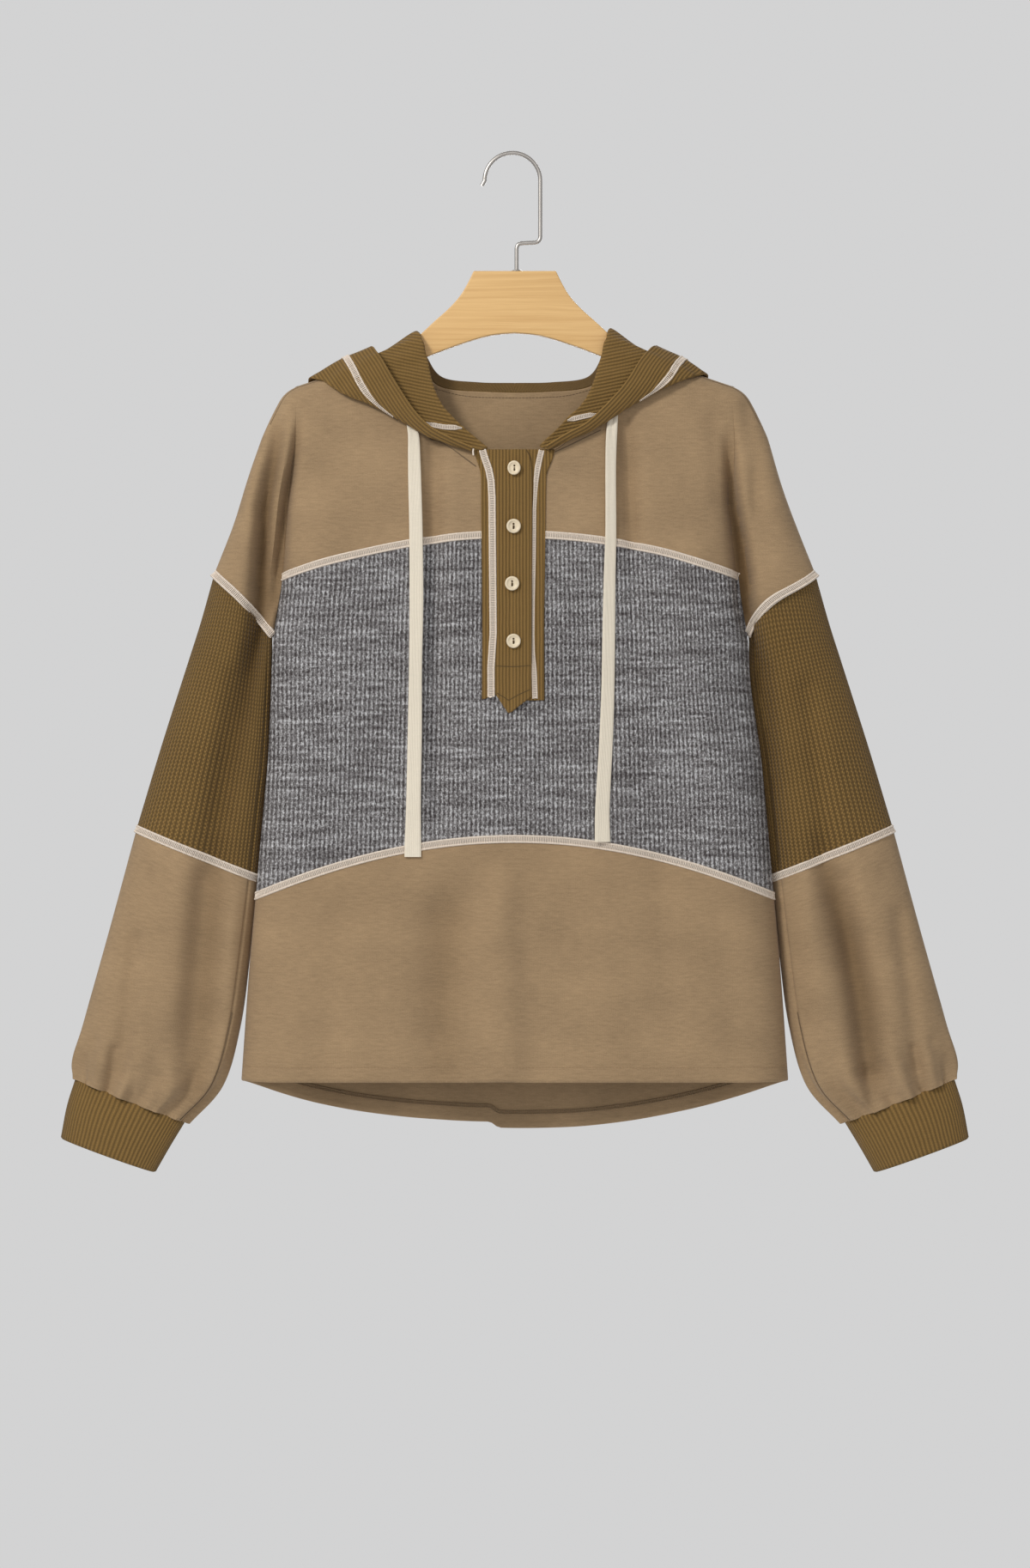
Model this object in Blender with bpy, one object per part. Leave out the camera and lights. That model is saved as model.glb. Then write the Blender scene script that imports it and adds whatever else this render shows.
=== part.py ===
"""Hooded henley sweatshirt with a buttoned placket, hanging on a flat wooden hanger.

Lengths in the tables are millimetres, seen from the front: +X to the viewer's right, -Y towards the viewer
and +Z up. The origin is the inside top of the hanger's hook. Cloth is a closed wall whose outer face follows
the functions below.
"""

import math
from collections import namedtuple

import bpy
from mathutils import Vector

MM = 0.001
CLOTH = 1.6                 # wall of jersey, rib and waffle
HEM_CLOTH = 2.8             # wall where a hem or cuff is double
HOOD_CLOTH = 1.8
SEAM = 0.3                  # gap between neighbouring pieces
GARMENT_X = 2.0             # the garment's centre, to the right of the hook's

# ---------------------------------------------------------------- outlines and depths
Outline = namedtuple("Outline", "x z")
Width = namedtuple("Width", "z half")
Depth = namedtuple("Depth", "z front back edge")

SHOULDER = (                # shoulder line, then the outer edge of the upper arm, down to the armhole seam
    Outline(84.0, -150.5), Outline(95.0, -159.0), Outline(110.0, -169.0), Outline(147.0, -182.5),
    Outline(172.0, -191.0), Outline(184.5, -195.5), Outline(194.0, -202.0), Outline(201.0, -213.0),
    Outline(211.0, -234.0), Outline(216.0, -248.0), Outline(234.0, -304.0), Outline(252.7, -352.0),
)
NECK_FRONT = (              # from the placket slit to the neck point
    Outline(4.0, -252.0), Outline(30.0, -251.0), Outline(45.0, -241.0), Outline(57.0, -230.0),
    Outline(67.0, -215.0), Outline(74.0, -196.0), Outline(79.0, -174.0), Outline(84.0, -150.5),
)
NECK_BACK = (
    Outline(0.0, -202.0), Outline(30.0, -201.0), Outline(57.0, -198.5), Outline(70.0, -191.0),
    Outline(78.0, -175.0), Outline(84.0, -150.5),
)
BODY = (                    # the fold between body and arm, then the side seam
    Width(-192.0, 181.6), Width(-217.0, 183.0), Width(-286.0, 187.0), Width(-355.0, 192.0),
    Width(-404.0, 199.4), Width(-448.0, 202.0), Width(-534.0, 210.0), Width(-623.0, 218.0),
    Width(-685.0, 223.5), Width(-777.0, 230.0),
)
DEPTHS = (                  # how far each face stands from the hanger's plane, and how wide its edge rounds
    Depth(-150.0, 10.0, 10.0, 10.0), Depth(-200.0, 13.5, 13.0, 12.0), Depth(-250.0, 18.0, 16.0, 20.0),
    Depth(-350.0, 28.0, 21.0, 26.0), Depth(-575.0, 32.0, 27.0, 45.0), Depth(-777.0, 34.0, 28.0, 45.0),
    Depth(-822.0, 34.0, 28.0, 45.0),
)
FOLD_X = 181.8              # where the fold between body and arm meets the shoulder line
UNDERARM = Outline(199.4, -404.0)
ARMHOLE = Outline(252.7, -352.0)
ARM_DEPTH = 20.0            # half depth of the sleeve at the armhole seam
BODY_ROUND = 45.0           # width over which the body's sides round away
ARM_SPREAD = 0.31           # how far the arm's edge moves out for each mm down, below that seam
FRONT_FOLD = (-205.0, -335.0)   # heights between which the front's fold deepens
BACK_FOLD = (-300.0, -404.0)

ARCH_UPPER = (-320.5, 35.0)     # height at the middle, and the drop at the side
ARCH_LOWER = (-575.0, 48.5)
FRONT_HEM = -777.0
BACK_HEM = (-820.0, 42.0)       # height at the middle, and the rise at the side
BACK_HEM_POWER = 2.2            # how late the rise comes
HEM_BAND = 12.0

# Soft troughs in the front: both ends, half width and depth. A minus depth is a ridge. They fade where the
# front stands out less than CREASE_FULL.
CREASE_FULL = 12.0
Crease = namedtuple("Crease", "x1 z1 x2 z2 width depth")
CREASES = (
    Crease(-66.0, -232.0, -62.0, -560.0, 9.0, 4.5),
    Crease(94.0, -226.0, 98.0, -330.0, 9.0, 3.5),
    Crease(-40.0, -620.0, -34.0, -760.0, 12.0, 4.0),
    Crease(-10.0, -610.0, -4.0, -765.0, 13.0, -3.5),
    Crease(120.0, -600.0, 134.0, -740.0, 16.0, 3.0),
    Crease(-146.0, -640.0, -158.0, -765.0, 15.0, 3.0),
    Crease(-200.0, -214.0, -214.0, -300.0, 7.0, 3.0),
    Crease(194.0, -214.0, 206.0, -300.0, 7.0, 3.0),
    Crease(245.0, -450.0, 262.0, -578.0, 9.0, 4.5),
    Crease(-236.0, -440.0, -252.0, -560.0, 9.0, 3.0),
    Crease(-262.0, -610.0, -276.0, -770.0, 10.0, 6.0),
    Crease(277.0, -610.0, 294.0, -770.0, 10.0, 6.0),
    Crease(-318.0, -660.0, -330.0, -770.0, 8.0, 4.0),
    Crease(322.0, -640.0, 338.0, -765.0, 8.0, 4.0),
)


def read(table, at, column):
    """A column of a table at a value of its first column, along a smooth curve through the rows."""
    rows = sorted(table, key=lambda row: row[0])
    at = min(max(at, rows[0][0]), rows[-1][0])
    last = len(rows) - 1
    k = max(i for i in range(last) if rows[i][0] <= at or i == 0)
    a, b = rows[k], rows[k + 1]
    span = b[0] - a[0]
    value = {i: getattr(rows[i], column) for i in range(max(k - 1, 0), min(k + 2, last) + 1)}

    def slope(i):
        lo, hi = max(i - 1, 0), min(i + 1, last)
        return (value[hi] - value[lo]) / (rows[hi][0] - rows[lo][0])

    t = (at - a[0]) / span
    h1, h2 = t * t * (3.0 - 2.0 * t), t * (1.0 - t) ** 2
    h3 = t * t * (t - 1.0)
    return value[k] * (1.0 - h1) + value[k + 1] * h1 + (h2 * slope(k) + h3 * slope(k + 1)) * span


def along(points, share):
    """The point at a share of the length of a smooth curve through named points."""
    path = smooth_path(points, 8)
    steps = [(b - a).length for a, b in zip(path, path[1:])]
    goal = share * sum(steps)
    for a, b, step in zip(path, path[1:], steps):
        if goal <= step:
            return a.lerp(b, goal / step)
        goal -= step
    return path[-1]


def smooth_path(points, pieces):
    """Points along a curve through every given point, a number of pieces to each stretch."""
    line = [Vector(p) for p in points]
    path = []
    for i in range(len(line) - 1):
        a, b = line[i], line[i + 1]
        before = line[i - 1] if i else a * 2.0 - b
        after = line[i + 2] if i + 2 < len(line) else b * 2.0 - a
        for k in range(pieces):
            t = k / pieces
            path.append(
                a
                + (b - before) * (0.5 * t)
                + (before * 2.0 - a * 5.0 + b * 4.0 - after) * (0.5 * t * t)
                + (a * 3.0 - before - b * 3.0 + after) * (0.5 * t ** 3)
            )
    path.append(line[-1])
    return path


def ease(lo, hi, at):
    t = min(max((at - lo) / (hi - lo), 0.0), 1.0)
    return t * t * (3.0 - 2.0 * t)


def quarter(t):
    """Rises from 0 to 1 as a quarter circle."""
    return math.sqrt(1.0 - (1.0 - min(max(t, 0.0), 1.0)) ** 2)


def to_segment(x, z, x1, z1, x2, z2):
    """Distance to a segment."""
    dx, dz = x2 - x1, z2 - z1
    t = min(max(((x - x1) * dx + (z - z1) * dz) / (dx * dx + dz * dz), 0.0), 1.0)
    return math.hypot(x - x1 - t * dx, z - z1 - t * dz)


SHOULDER_LINE = [(p.x, p.y) for p in smooth_path([(q.x, q.z, 0.0) for q in SHOULDER], 4)]


def shoulder_distance(x, z):
    return min(to_segment(x, z, *a, *b) for a, b in zip(SHOULDER_LINE, SHOULDER_LINE[1:]))


def arm_edge(z):
    """The upper arm's outer edge at a height."""
    for (x1, z1), (x2, z2) in zip(SHOULDER_LINE, SHOULDER_LINE[1:]):
        if z2 <= z <= z1:
            return x1 + (x2 - x1) * (z - z1) / (z2 - z1)
    return ARMHOLE.x + (ARMHOLE.z - z) * ARM_SPREAD


def crease(x, z):
    total = 0.0
    for c in CREASES:
        away = to_segment(x, z, c.x1, c.z1, c.x2, c.z2) / c.width
        total += c.depth * math.exp(-away * away)
    return total


def stand(x, z, face, fold):
    """How far the cloth's outer face stands out from the hanger's plane."""
    a = abs(x)
    full = read(DEPTHS, z, face)
    if z <= UNDERARM.z:
        return full * quarter((read(BODY, z, "half") - a) / BODY_ROUND)
    edge = quarter(shoulder_distance(a, z) / read(DEPTHS, z, "edge"))
    closed = ease(fold[0], fold[1], z)
    half = read(BODY, z, "half")
    if a <= half:
        return full * edge * (1.0 - closed + closed * quarter((half - a) / BODY_ROUND))
    across = quarter((a - half) / (0.5 * (arm_edge(z) - half)))
    return (full * (1.0 - closed) + ARM_DEPTH * closed * across) * edge


def front_face(x, z):
    out = stand(x, z, "front", FRONT_FOLD)
    return Vector((x, -max(out - crease(x, z) * min(out / CREASE_FULL, 1.0), SEAM / 2), z))


def back_face(x, z):
    return Vector((x, max(stand(x, z, "back", BACK_FOLD), SEAM / 2), z))


def on_front(x, z, lift):
    """A point lying out from the front's outer face."""
    return front_face(x, z) - Vector((0.0, lift, 0.0))


# ---------------------------------------------------------------- meshes
def material(name, colour, roughness, metallic=0.0):
    found = bpy.data.materials.get(name)
    if found:
        return found
    made = bpy.data.materials.new(name)
    made.use_nodes = True
    shader = made.node_tree.nodes["Principled BSDF"]
    shader.inputs["Base Color"].default_value = (*colour, 1.0)
    shader.inputs["Roughness"].default_value = roughness
    shader.inputs["Metallic"].default_value = metallic
    return made


def taupe():
    return material("taupe_jersey", (0.33, 0.23, 0.133), 0.9)


def olive():
    return material("olive_rib", (0.19, 0.12, 0.039), 0.9)


def marl():
    return material("grey_marl_rib", (0.2, 0.195, 0.21), 0.92)


def cream():
    return material("cream_cord", (0.8, 0.73, 0.59), 0.85)


def horn():
    return material("cream_button", (0.77, 0.65, 0.45), 0.35)


def wood():
    return material("pale_wood", (0.76, 0.5, 0.2), 0.45)


def steel():
    return material("hook_steel", (0.6, 0.58, 0.55), 0.3, 1.0)


def make_object(name, points, faces, look, place_x=GARMENT_X):
    mesh = bpy.data.meshes.new(name)
    mesh.from_pydata([tuple(p * MM) for p in points], [], faces)
    mesh.validate()
    mesh.materials.append(look)
    mesh.shade_smooth()
    mesh.set_sharp_from_angle(angle=math.radians(40.0))
    made = bpy.data.objects.new(name, mesh)
    bpy.context.scene.collection.objects.link(made)
    made.location = (place_x * MM, 0.0, 0.0)
    return made


class Cloth:
    """Cloth: points on its outer face, faces wound to look out, and a wall thickness at each point."""

    def __init__(self, thickness=CLOTH):
        self.points = []
        self.faces = []
        self.thickness = thickness
        self.walls = {}
        self.level = set()

    def add(self, point, level=False, wall=None):
        """A point. A level one, at a seam between front and back, is thickened without leaving its plane."""
        index = len(self.points)
        self.points.append(Vector(point))
        if level:
            self.level.add(index)
        if wall:
            self.walls[index] = wall
        return index

    def fill(self, rows, closed=False):
        """Faces between neighbouring rows of points; None leaves a hole."""
        for upper, lower in zip(rows, rows[1:]):
            pairs = list(zip(range(len(upper)), range(1, len(upper))))
            if closed:
                pairs.append((len(upper) - 1, 0))
            for i, k in pairs:
                corners = [upper[i], lower[i], lower[k], upper[k]]
                if None in corners:
                    continue
                corners = [c for n, c in enumerate(corners) if c != corners[n - 1]]
                if len(corners) > 2:
                    self.faces.append(corners)

    def normals(self):
        total = [Vector() for _ in self.points]
        for face in self.faces:
            corners = [self.points[i] for i in face]
            across = (corners[2] - corners[0]).cross(corners[-1] - corners[1])
            for i in face:
                total[i] += across
        for i in self.level:
            total[i].y = 0.0
        return [t.normalized() for t in total]

    def build(self, name, look, centred=False, flip=False):
        """Thickens the face into a closed wall."""
        if flip:
            self.faces = [face[::-1] for face in self.faces]
        out = self.normals()
        count = len(self.points)
        wall = [self.walls.get(i, self.thickness) for i in range(count)]
        half = 0.5 if centred else 0.0
        outer = [p + n * w * half for p, n, w in zip(self.points, out, wall)]
        inner = [p - n * w * (1.0 - half) for p, n, w in zip(self.points, out, wall)]
        faces = list(self.faces) + [[i + count for i in face[::-1]] for face in self.faces]
        sides = {}
        for face in self.faces:
            for a, b in zip(face, face[1:] + face[:1]):
                sides[(a, b)] = True
        for a, b in sides:
            if (b, a) not in sides:
                faces.append([b, a, a + count, b + count])
        return make_object(name, outer + inner, faces, look)


# ---------------------------------------------------------------- body panels
YOKE_COLUMNS = (
    4.0, 16.0, 30.0, 45.0, 57.0, 67.0, 74.0, 79.0, 81.7, 83.3, 84.0, 104.0, 126.0, 146.0, 162.0, 173.0, 179.0,
)
BACK_COLUMNS = (0.0, 30.0, 57.0, 70.0, 78.0, 81.2, 83.2, 84.0, 108.0, 132.0, 154.0, 170.0)
TOP_ROWS = (0.0, 1.2, 4.0, 10.0)    # drops below a panel's top edge, close together over the rounded shoulder
MIDDLE_ROWS = (0.0, 0.13, 0.26, 0.39, 0.5, 0.67, 0.83, 1.0)
SLIT_ROWS = 4                       # how many of those rows the slit passes
LOWER_ROWS = (0.0, 0.16, 0.33, 0.5, 0.66, 0.82, 0.941, 0.947, 1.0)


def spread(count, lo=-1.0, hi=1.0):
    """Shares of a half width, closer together towards the sides."""
    a, b = math.asin(lo), math.asin(hi)
    return [math.sin(a + (b - a) * i / count) for i in range(count + 1)]


def row_heights(top, bottom, count):
    """Heights down a panel, from its top edge."""
    start = top - TOP_ROWS[-1]
    below = [start + (bottom - start) * k / count for k in range(1, count + 1)]
    return [top - drop for drop in TOP_ROWS] + below


def arch(curve, share):
    return curve[0] - curve[1] * share * share


def side_line(z):
    return read(BODY, z, "half")


def arm_block(cloth, face, inner, sign):
    """The drop shoulder's upper arm, from the body's fold to the armhole seam, as rows down the shoulder."""
    across = 6
    rows = [[inner[0]] * (across + 1)]
    line = [(p.x, 0.0, p.z) for p in SHOULDER if p.x > FOLD_X]
    line.insert(0, (FOLD_X, 0.0, read(SHOULDER, FOLD_X, "z")))
    slant = Vector((ARMHOLE.x - UNDERARM.x, 0.0, ARMHOLE.z - UNDERARM.z)).normalized()
    down = Vector((slant.z, 0.0, -slant.x))
    count = len(inner) - 1
    for j in range(1, count + 1):
        start = cloth.points[inner[j]]
        start = Vector((abs(start.x), 0.0, start.z))
        end = along(line, j / count)
        if j == count:
            end = end - down * (SEAM / 2)
        row = [inner[j]]
        for i in range(1, across + 1):
            at = start.lerp(end, math.sin(math.pi / 2 * i / across) ** 1.3)
            point = face(sign * at.x, at.z)
            if i == across:
                point.y = math.copysign(SEAM / 2, point.y)
            row.append(cloth.add(point, level=i == across))
        rows.append(row)
    if sign > 0:
        cloth.fill(rows)
    else:
        cloth.fill([row[::-1] for row in rows])


def front_yoke(name, sign):
    """The front's top, from the placket slit out over the drop shoulder to the armhole seam."""
    cloth = Cloth()
    shares = [x / FOLD_X for x in YOKE_COLUMNS] + [1.0]
    columns = []
    for share in shares:
        at = share * FOLD_X
        top = read(NECK_FRONT, at, "z") if at < NECK_FRONT[-1].x else read(SHOULDER, at, "z")
        column = []
        for j, z in enumerate(row_heights(top, arch(ARCH_UPPER, share) + SEAM / 2, 7)):
            on_line = j == 0 and at >= NECK_FRONT[-1].x
            point = front_face(sign * share * side_line(z), z)
            if on_line:
                point = Vector((sign * at, -SEAM / 2, z))
            column.append(cloth.add(point, level=on_line))
        columns.append(column)
    rows = [list(row) for row in zip(*columns)]
    below = 4
    cloth.fill(rows if sign > 0 else [row[::-1] for row in rows])
    inner = [row[-1] for row in rows]
    start = cloth.points[inner[-1]].z
    for j in range(1, below + 1):
        z = start + (UNDERARM.z + SEAM / 2 - start) * j / below
        inner.append(cloth.add(front_face(sign * (side_line(z) + SEAM), z)))
    arm_block(cloth, front_face, inner, sign)
    return cloth.build(name, taupe())


def front_band(cloth, shares, heights, top, bottom, hole=None):
    """Rows across the whole front from one curve to another; a hole leaves out faces."""
    rows = []
    for v in heights:
        row = []
        for share in shares:
            z = top(share) + (bottom(share) - top(share)) * v
            half = side_line(z)
            at_side = abs(share) > 0.9999
            wall = HEM_CLOTH if z < FRONT_HEM + HEM_BAND - 0.5 else None
            point = Vector((share * half, -SEAM / 2, z)) if at_side else front_face(share * half, z)
            row.append(cloth.add(point, level=at_side, wall=wall))
        rows.append(row)
    if hole:
        for j in range(hole):
            middle = len(shares) // 2
            cloth.fill([rows[j][:middle], rows[j + 1][:middle]])
            cloth.fill([rows[j][middle:], rows[j + 1][middle:]])
        cloth.fill(rows[hole:])
    else:
        cloth.fill(rows)


def front_middle():
    """The marl panel, slit at the top where the placket is sewn in."""
    cloth = Cloth()
    slit = NECK_FRONT[0].x / side_line(ARCH_UPPER[0])
    half = spread(11, 0.0, 1.0)[1:]
    shares = [-share for share in half[::-1]] + [-slit, slit] + half

    def top(share):
        return arch(ARCH_UPPER, share) - SEAM / 2

    def bottom(share):
        return arch(ARCH_LOWER, share) + SEAM / 2

    front_band(cloth, shares, MIDDLE_ROWS, top, bottom, hole=SLIT_ROWS)
    return cloth.build("front_middle", marl())


def front_lower():
    """The bottom panel with its turned hem."""
    cloth = Cloth()

    def top(share):
        return arch(ARCH_LOWER, share) - SEAM / 2

    def bottom(_):
        return FRONT_HEM

    front_band(cloth, spread(20), LOWER_ROWS, top, bottom)
    return cloth.build("front_lower", taupe())


def back():
    """The back, one piece with its drop shoulders, longer than the front."""
    cloth = Cloth()
    shares = [x / FOLD_X for x in BACK_COLUMNS] + [1.0]
    shares = [-share for share in shares[:0:-1]] + shares
    columns = []
    for share in shares:
        at = abs(share) * FOLD_X
        top = read(NECK_BACK, at, "z") if at < NECK_BACK[-1].x else read(SHOULDER, at, "z")
        hem = BACK_HEM[0] + BACK_HEM[1] * abs(share) ** BACK_HEM_POWER
        above = row_heights(top, UNDERARM.z, 11)
        below = [UNDERARM.z + (hem + HEM_BAND - UNDERARM.z) * k / 5 for k in range(1, 6)]
        column = []
        for j, z in enumerate(above + below + [hem + HEM_BAND - 1.0, hem]):
            on_line = j == 0 and at >= NECK_BACK[-1].x
            at_side = z <= UNDERARM.z and abs(share) > 0.9999
            point = back_face(share * side_line(z), z)
            if on_line:
                point = Vector((share * FOLD_X, SEAM / 2, z))
            if at_side:
                point.y = SEAM / 2
            wall = HEM_CLOTH if z < hem + HEM_BAND - 0.5 else None
            column.append(cloth.add(point, level=on_line or at_side, wall=wall))
        columns.append(column)
    rows = [list(row) for row in zip(*columns)]
    cloth.fill([row[::-1] for row in rows])
    for sign, column in ((1, -1), (-1, 0)):
        inner = [row[column] for row in rows[: len(above)]]
        arm_block_back(cloth, inner, sign)
    return cloth.build("back", taupe())


def arm_block_back(cloth, inner, sign):
    """The same drop shoulder on the back, wound to look backwards."""
    start = len(cloth.faces)
    arm_block(cloth, back_face, inner, sign)
    cloth.faces[start:] = [face[::-1] for face in cloth.faces[start:]]


# ---------------------------------------------------------------- sleeves and cuffs
Section = namedtuple("Section", "outer_x outer_z inner_x inner_z depth back")
NumberedSection = namedtuple("NumberedSection", ("at",) + Section._fields)

SLEEVE_UPPER = (
    Section(252.9, -352.4, 200.5, -404.3, 20.0, 0.5), Section(264.5, -392.0, 201.3, -446.0, 22.0, 7.0),
    Section(276.0, -428.0, 204.9, -488.0, 23.5, 8.0), Section(298.0, -497.0, 210.9, -550.0, 25.0, 8.0),
    Section(319.0, -566.8, 216.4, -608.8, 26.0, 8.0),
)
SLEEVE_LOWER = (
    Section(319.0, -567.2, 216.4, -609.2, 26.0, 8.0), Section(341.0, -649.0, 222.6, -670.0, 28.0, 7.0),
    Section(361.0, -721.0, 231.0, -733.0, 28.0, 4.0), Section(371.5, -757.0, 247.0, -782.0, 25.0, 2.0),
    Section(371.0, -776.8, 277.0, -813.8, 15.0, 0.0),
)
CUFF = (
    Section(370.0, -777.4, 278.0, -814.2, 13.0, 0.0), Section(377.0, -800.0, 290.0, -834.0, 14.0, 0.0),
    Section(382.0, -826.0, 302.0, -855.0, 12.5, 0.0),
)
GATHERS = 11
GATHER_SIZE = 0.053         # share of the sleeve's half width
GATHER_STAND = 3.5          # how much further a gather stands front and back than at the sides
GATHER_START = 0.45         # share of the lower sleeve's length where the gathers fade in
UNEVEN = (0.0, 0.22, -0.15, 0.3, -0.24, 0.08, -0.3, 0.17)


def section_at(table, share):
    """A section between two rows of a table, along smooth curves down its columns."""
    numbered = [NumberedSection(i, *row) for i, row in enumerate(table)]
    at = share * (len(table) - 1)
    return Section(*(read(numbered, at, column) for column in Section._fields))


def ring(section, sign, around, shape):
    """Points round a sleeve's section, from its inner edge over the front to its outer edge and back."""
    outer = Vector((section.outer_x, 0.0, section.outer_z))
    inner = Vector((section.inner_x, 0.0, section.inner_z))
    middle, half = (outer + inner) / 2, (outer - inner) / 2
    points = []
    for k in range(around):
        turn = 2.0 * math.pi * k / around
        swell = 1.0 + shape(turn)
        across = -math.cos(turn) * swell
        deep = -math.sin(turn) * section.depth * (1.0 + GATHER_STAND * shape(turn))
        at = middle + half * across
        at.x *= sign
        if deep < 0.0:
            deep += crease(at.x, at.z) * math.sin(turn)
        points.append(Vector((at.x, deep + section.back, at.z)))
    return points


def plain(turn, share):
    return 0.0


def tube(name, table, sign, down, around, look, shape=plain, wall=CLOTH):
    cloth = Cloth(wall)
    rows = []
    for j in range(down + 1):
        share = j / down
        points = ring(section_at(table, share), sign, around, lambda turn: shape(turn, share))
        rows.append([cloth.add(point) for point in points])
    cloth.fill(rows, closed=True)
    return cloth.build(name, look, flip=sign < 0)


def gathers(turn, share):
    """The waves that a full sleeve makes where it is drawn into its cuff."""
    fade = ease(GATHER_START, 1.0, share)
    lane = turn / (2.0 * math.pi) * GATHERS
    near = int(lane) % len(UNEVEN)
    phase = 2.0 * math.pi * lane + UNEVEN[near] * math.sin(math.pi * (lane % 1.0))
    size = 1.0 + UNEVEN[near] * math.sin(math.pi * (lane % 1.0))
    return GATHER_SIZE * fade * size * math.cos(phase)


def sleeves():
    for side, sign in (("left", -1), ("right", 1)):
        tube(f"sleeve_upper_{side}", SLEEVE_UPPER, sign, 6, 20, olive())
        tube(f"sleeve_lower_{side}", SLEEVE_LOWER, sign, 7, 44, taupe(), shape=gathers)
        tube(f"cuff_{side}", CUFF, sign, 3, 24, olive(), wall=HEM_CLOTH)


# ---------------------------------------------------------------- hood
# Each row is a section across the hood, from the placket over the shoulder to the centre back. The neck is
# where it is sewn on, the roll its inner edge round the neck, the fold its outer edge and the edge the free
# edge of its casing.
Hood = namedtuple("Hood", "neck roll fold edge turn")
HOOD = (
    Hood((32.0, -16.6, -249.2), (27.5, -19.5, -246.5), (37.0, -23.5, -257.5), (33.0, -28.5, -249.5), -90),
    Hood((44.0, -16.2, -239.5), (40.0, -19.5, -228.5), (52.0, -23.0, -244.5), (50.0, -28.5, -237.0), -90),
    Hood((56.0, -15.2, -228.5), (50.0, -19.0, -218.5), (72.0, -22.0, -232.0), (68.0, -28.0, -227.0), -90),
    Hood((66.0, -14.0, -214.0), (60.0, -18.0, -209.0), (95.0, -21.0, -219.5), (84.0, -27.0, -210.0), -90),
    Hood((73.0, -12.0, -195.0), (67.5, -16.5, -194.0), (118.0, -20.0, -208.0), (94.0, -26.0, -191.0), -85),
    Hood((78.5, -9.0, -172.0), (75.0, -13.5, -172.0), (142.0, -18.5, -196.0), (104.0, -23.0, -175.0), -70),
    Hood((81.4, -8.6, -156.5), (80.8, -12.5, -157.0), (157.0, -12.0, -187.0), (109.0, -15.5, -165.0), -45),
    Hood((84.2, 0.0, -149.0), (84.5, 0.0, -145.0), (168.0, -1.0, -182.5), (113.0, -1.0, -159.5), 0),
    Hood((82.6, 10.0, -156.5), (81.0, 13.0, -156.0), (170.0, 12.0, -191.0), (113.0, 17.0, -170.0), 45),
    Hood((78.0, 11.5, -173.0), (76.5, 15.5, -170.0), (170.0, 19.5, -212.0), (112.0, 27.0, -192.0), 70),
    Hood((64.0, 12.5, -194.0), (62.0, 17.0, -189.0), (148.0, 27.0, -290.0), (88.0, 34.0, -236.0), 90),
    Hood((32.0, 12.6, -199.9), (32.0, 17.5, -193.5), (84.0, 31.0, -362.0), (48.0, 40.0, -276.0), 90),
    Hood((0.2, 12.5, -200.8), (0.2, 17.5, -195.0), (0.2, 33.0, -390.0), (0.2, 42.0, -290.0), 90),
)
HOOD_REST = 2.9             # the hood's lower layer above the cloth it lies on
UNDER_POINTS = ((0.3, 6.2), (0.8, HOOD_REST))   # shares from roll to fold, and the rest over the front at each
CASING_STAND = 2.0


def hood_points(row):
    """The seven points of one section, in order from the neck seam to the free edge."""
    neck, roll, fold, edge = (Vector(p) for p in row[:4])
    turn = math.radians(row.turn)
    out = Vector((0.0, math.sin(turn), math.cos(turn)))
    under = []
    for share, rest in UNDER_POINTS:
        at = roll.lerp(fold, share)
        face = back_face if row.turn > 0 else front_face
        if abs(row.turn) > 45:
            at.y = face(at.x, at.z).y + math.copysign(rest if row.turn < 0 else HOOD_REST, row.turn)
        else:
            top = read(SHOULDER, at.x, "z")
            size = read(DEPTHS, top, "edge")
            at = Vector((at.x, size * math.sin(turn), top - size * (1.0 - math.cos(turn)))) + out * HOOD_REST
        under.append(at)
    casing = fold.lerp(edge, 0.5) + out * CASING_STAND
    return [neck, roll, *under, fold, casing, edge]


def hood(name, sign):
    cloth = Cloth(HOOD_CLOTH)
    sections = [hood_points(row) for row in HOOD]
    lanes = [smooth_path([section[k] for section in sections], 2) for k in range(len(sections[0]))]
    rows = []
    for stations in zip(*lanes):
        line = smooth_path(stations, 2)
        rows.append([cloth.add(Vector((p.x * sign, p.y, p.z))) for p in line])
    cloth.fill(rows)
    return cloth.build(name, olive(), centred=True, flip=sign < 0)


# ---------------------------------------------------------------- placket, buttons and drawcords
Strip = namedtuple("Strip", "z left right")
OVER_STRIP = (
    Strip(-251.0, -29.5, 11.0), Strip(-262.0, -29.0, 12.5), Strip(-275.0, -27.8, 14.0),
    Strip(-340.0, -27.6, 14.2), Strip(-400.0, -27.6, 14.2), Strip(-452.0, -27.6, 13.6),
)
UNDER_STRIP = (
    Strip(-251.0, 5.0, 30.0), Strip(-262.0, 5.0, 27.5), Strip(-275.0, 5.0, 25.0),
    Strip(-340.0, 5.0, 24.6), Strip(-400.0, 5.0, 24.6), Strip(-459.0, 5.0, 24.4),
)
OVER_POINT = (              # the over strip's lower edge
    Outline(-27.6, -458.5), Outline(-15.7, -454.0), Outline(-5.0, -470.0), Outline(13.6, -456.0),
)
STRIP_CLOTH = 1.5
OVER_LIFT = SEAM + STRIP_CLOTH + SEAM
Button = namedtuple("Button", "x z")
BUTTONS = (Button(-0.3, -265.0), Button(-1.0, -314.0), Button(-2.2, -362.0), Button(-1.0, -410.0))
Turned = namedtuple("Turned", "radius height")
BUTTON_PROFILE = (          # from the dished middle over the rim to the back
    Turned(3.6, 1.5), Turned(4.3, 2.4), Turned(5.5, 2.4), Turned(6.0, 1.7), Turned(5.4, 0.2), Turned(4.0, 0.0),
)
BUTTON_AROUND = 16
BUTTON_HOLE = 0.9           # radius
BUTTON_HOLE_APART = 3.4
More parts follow.
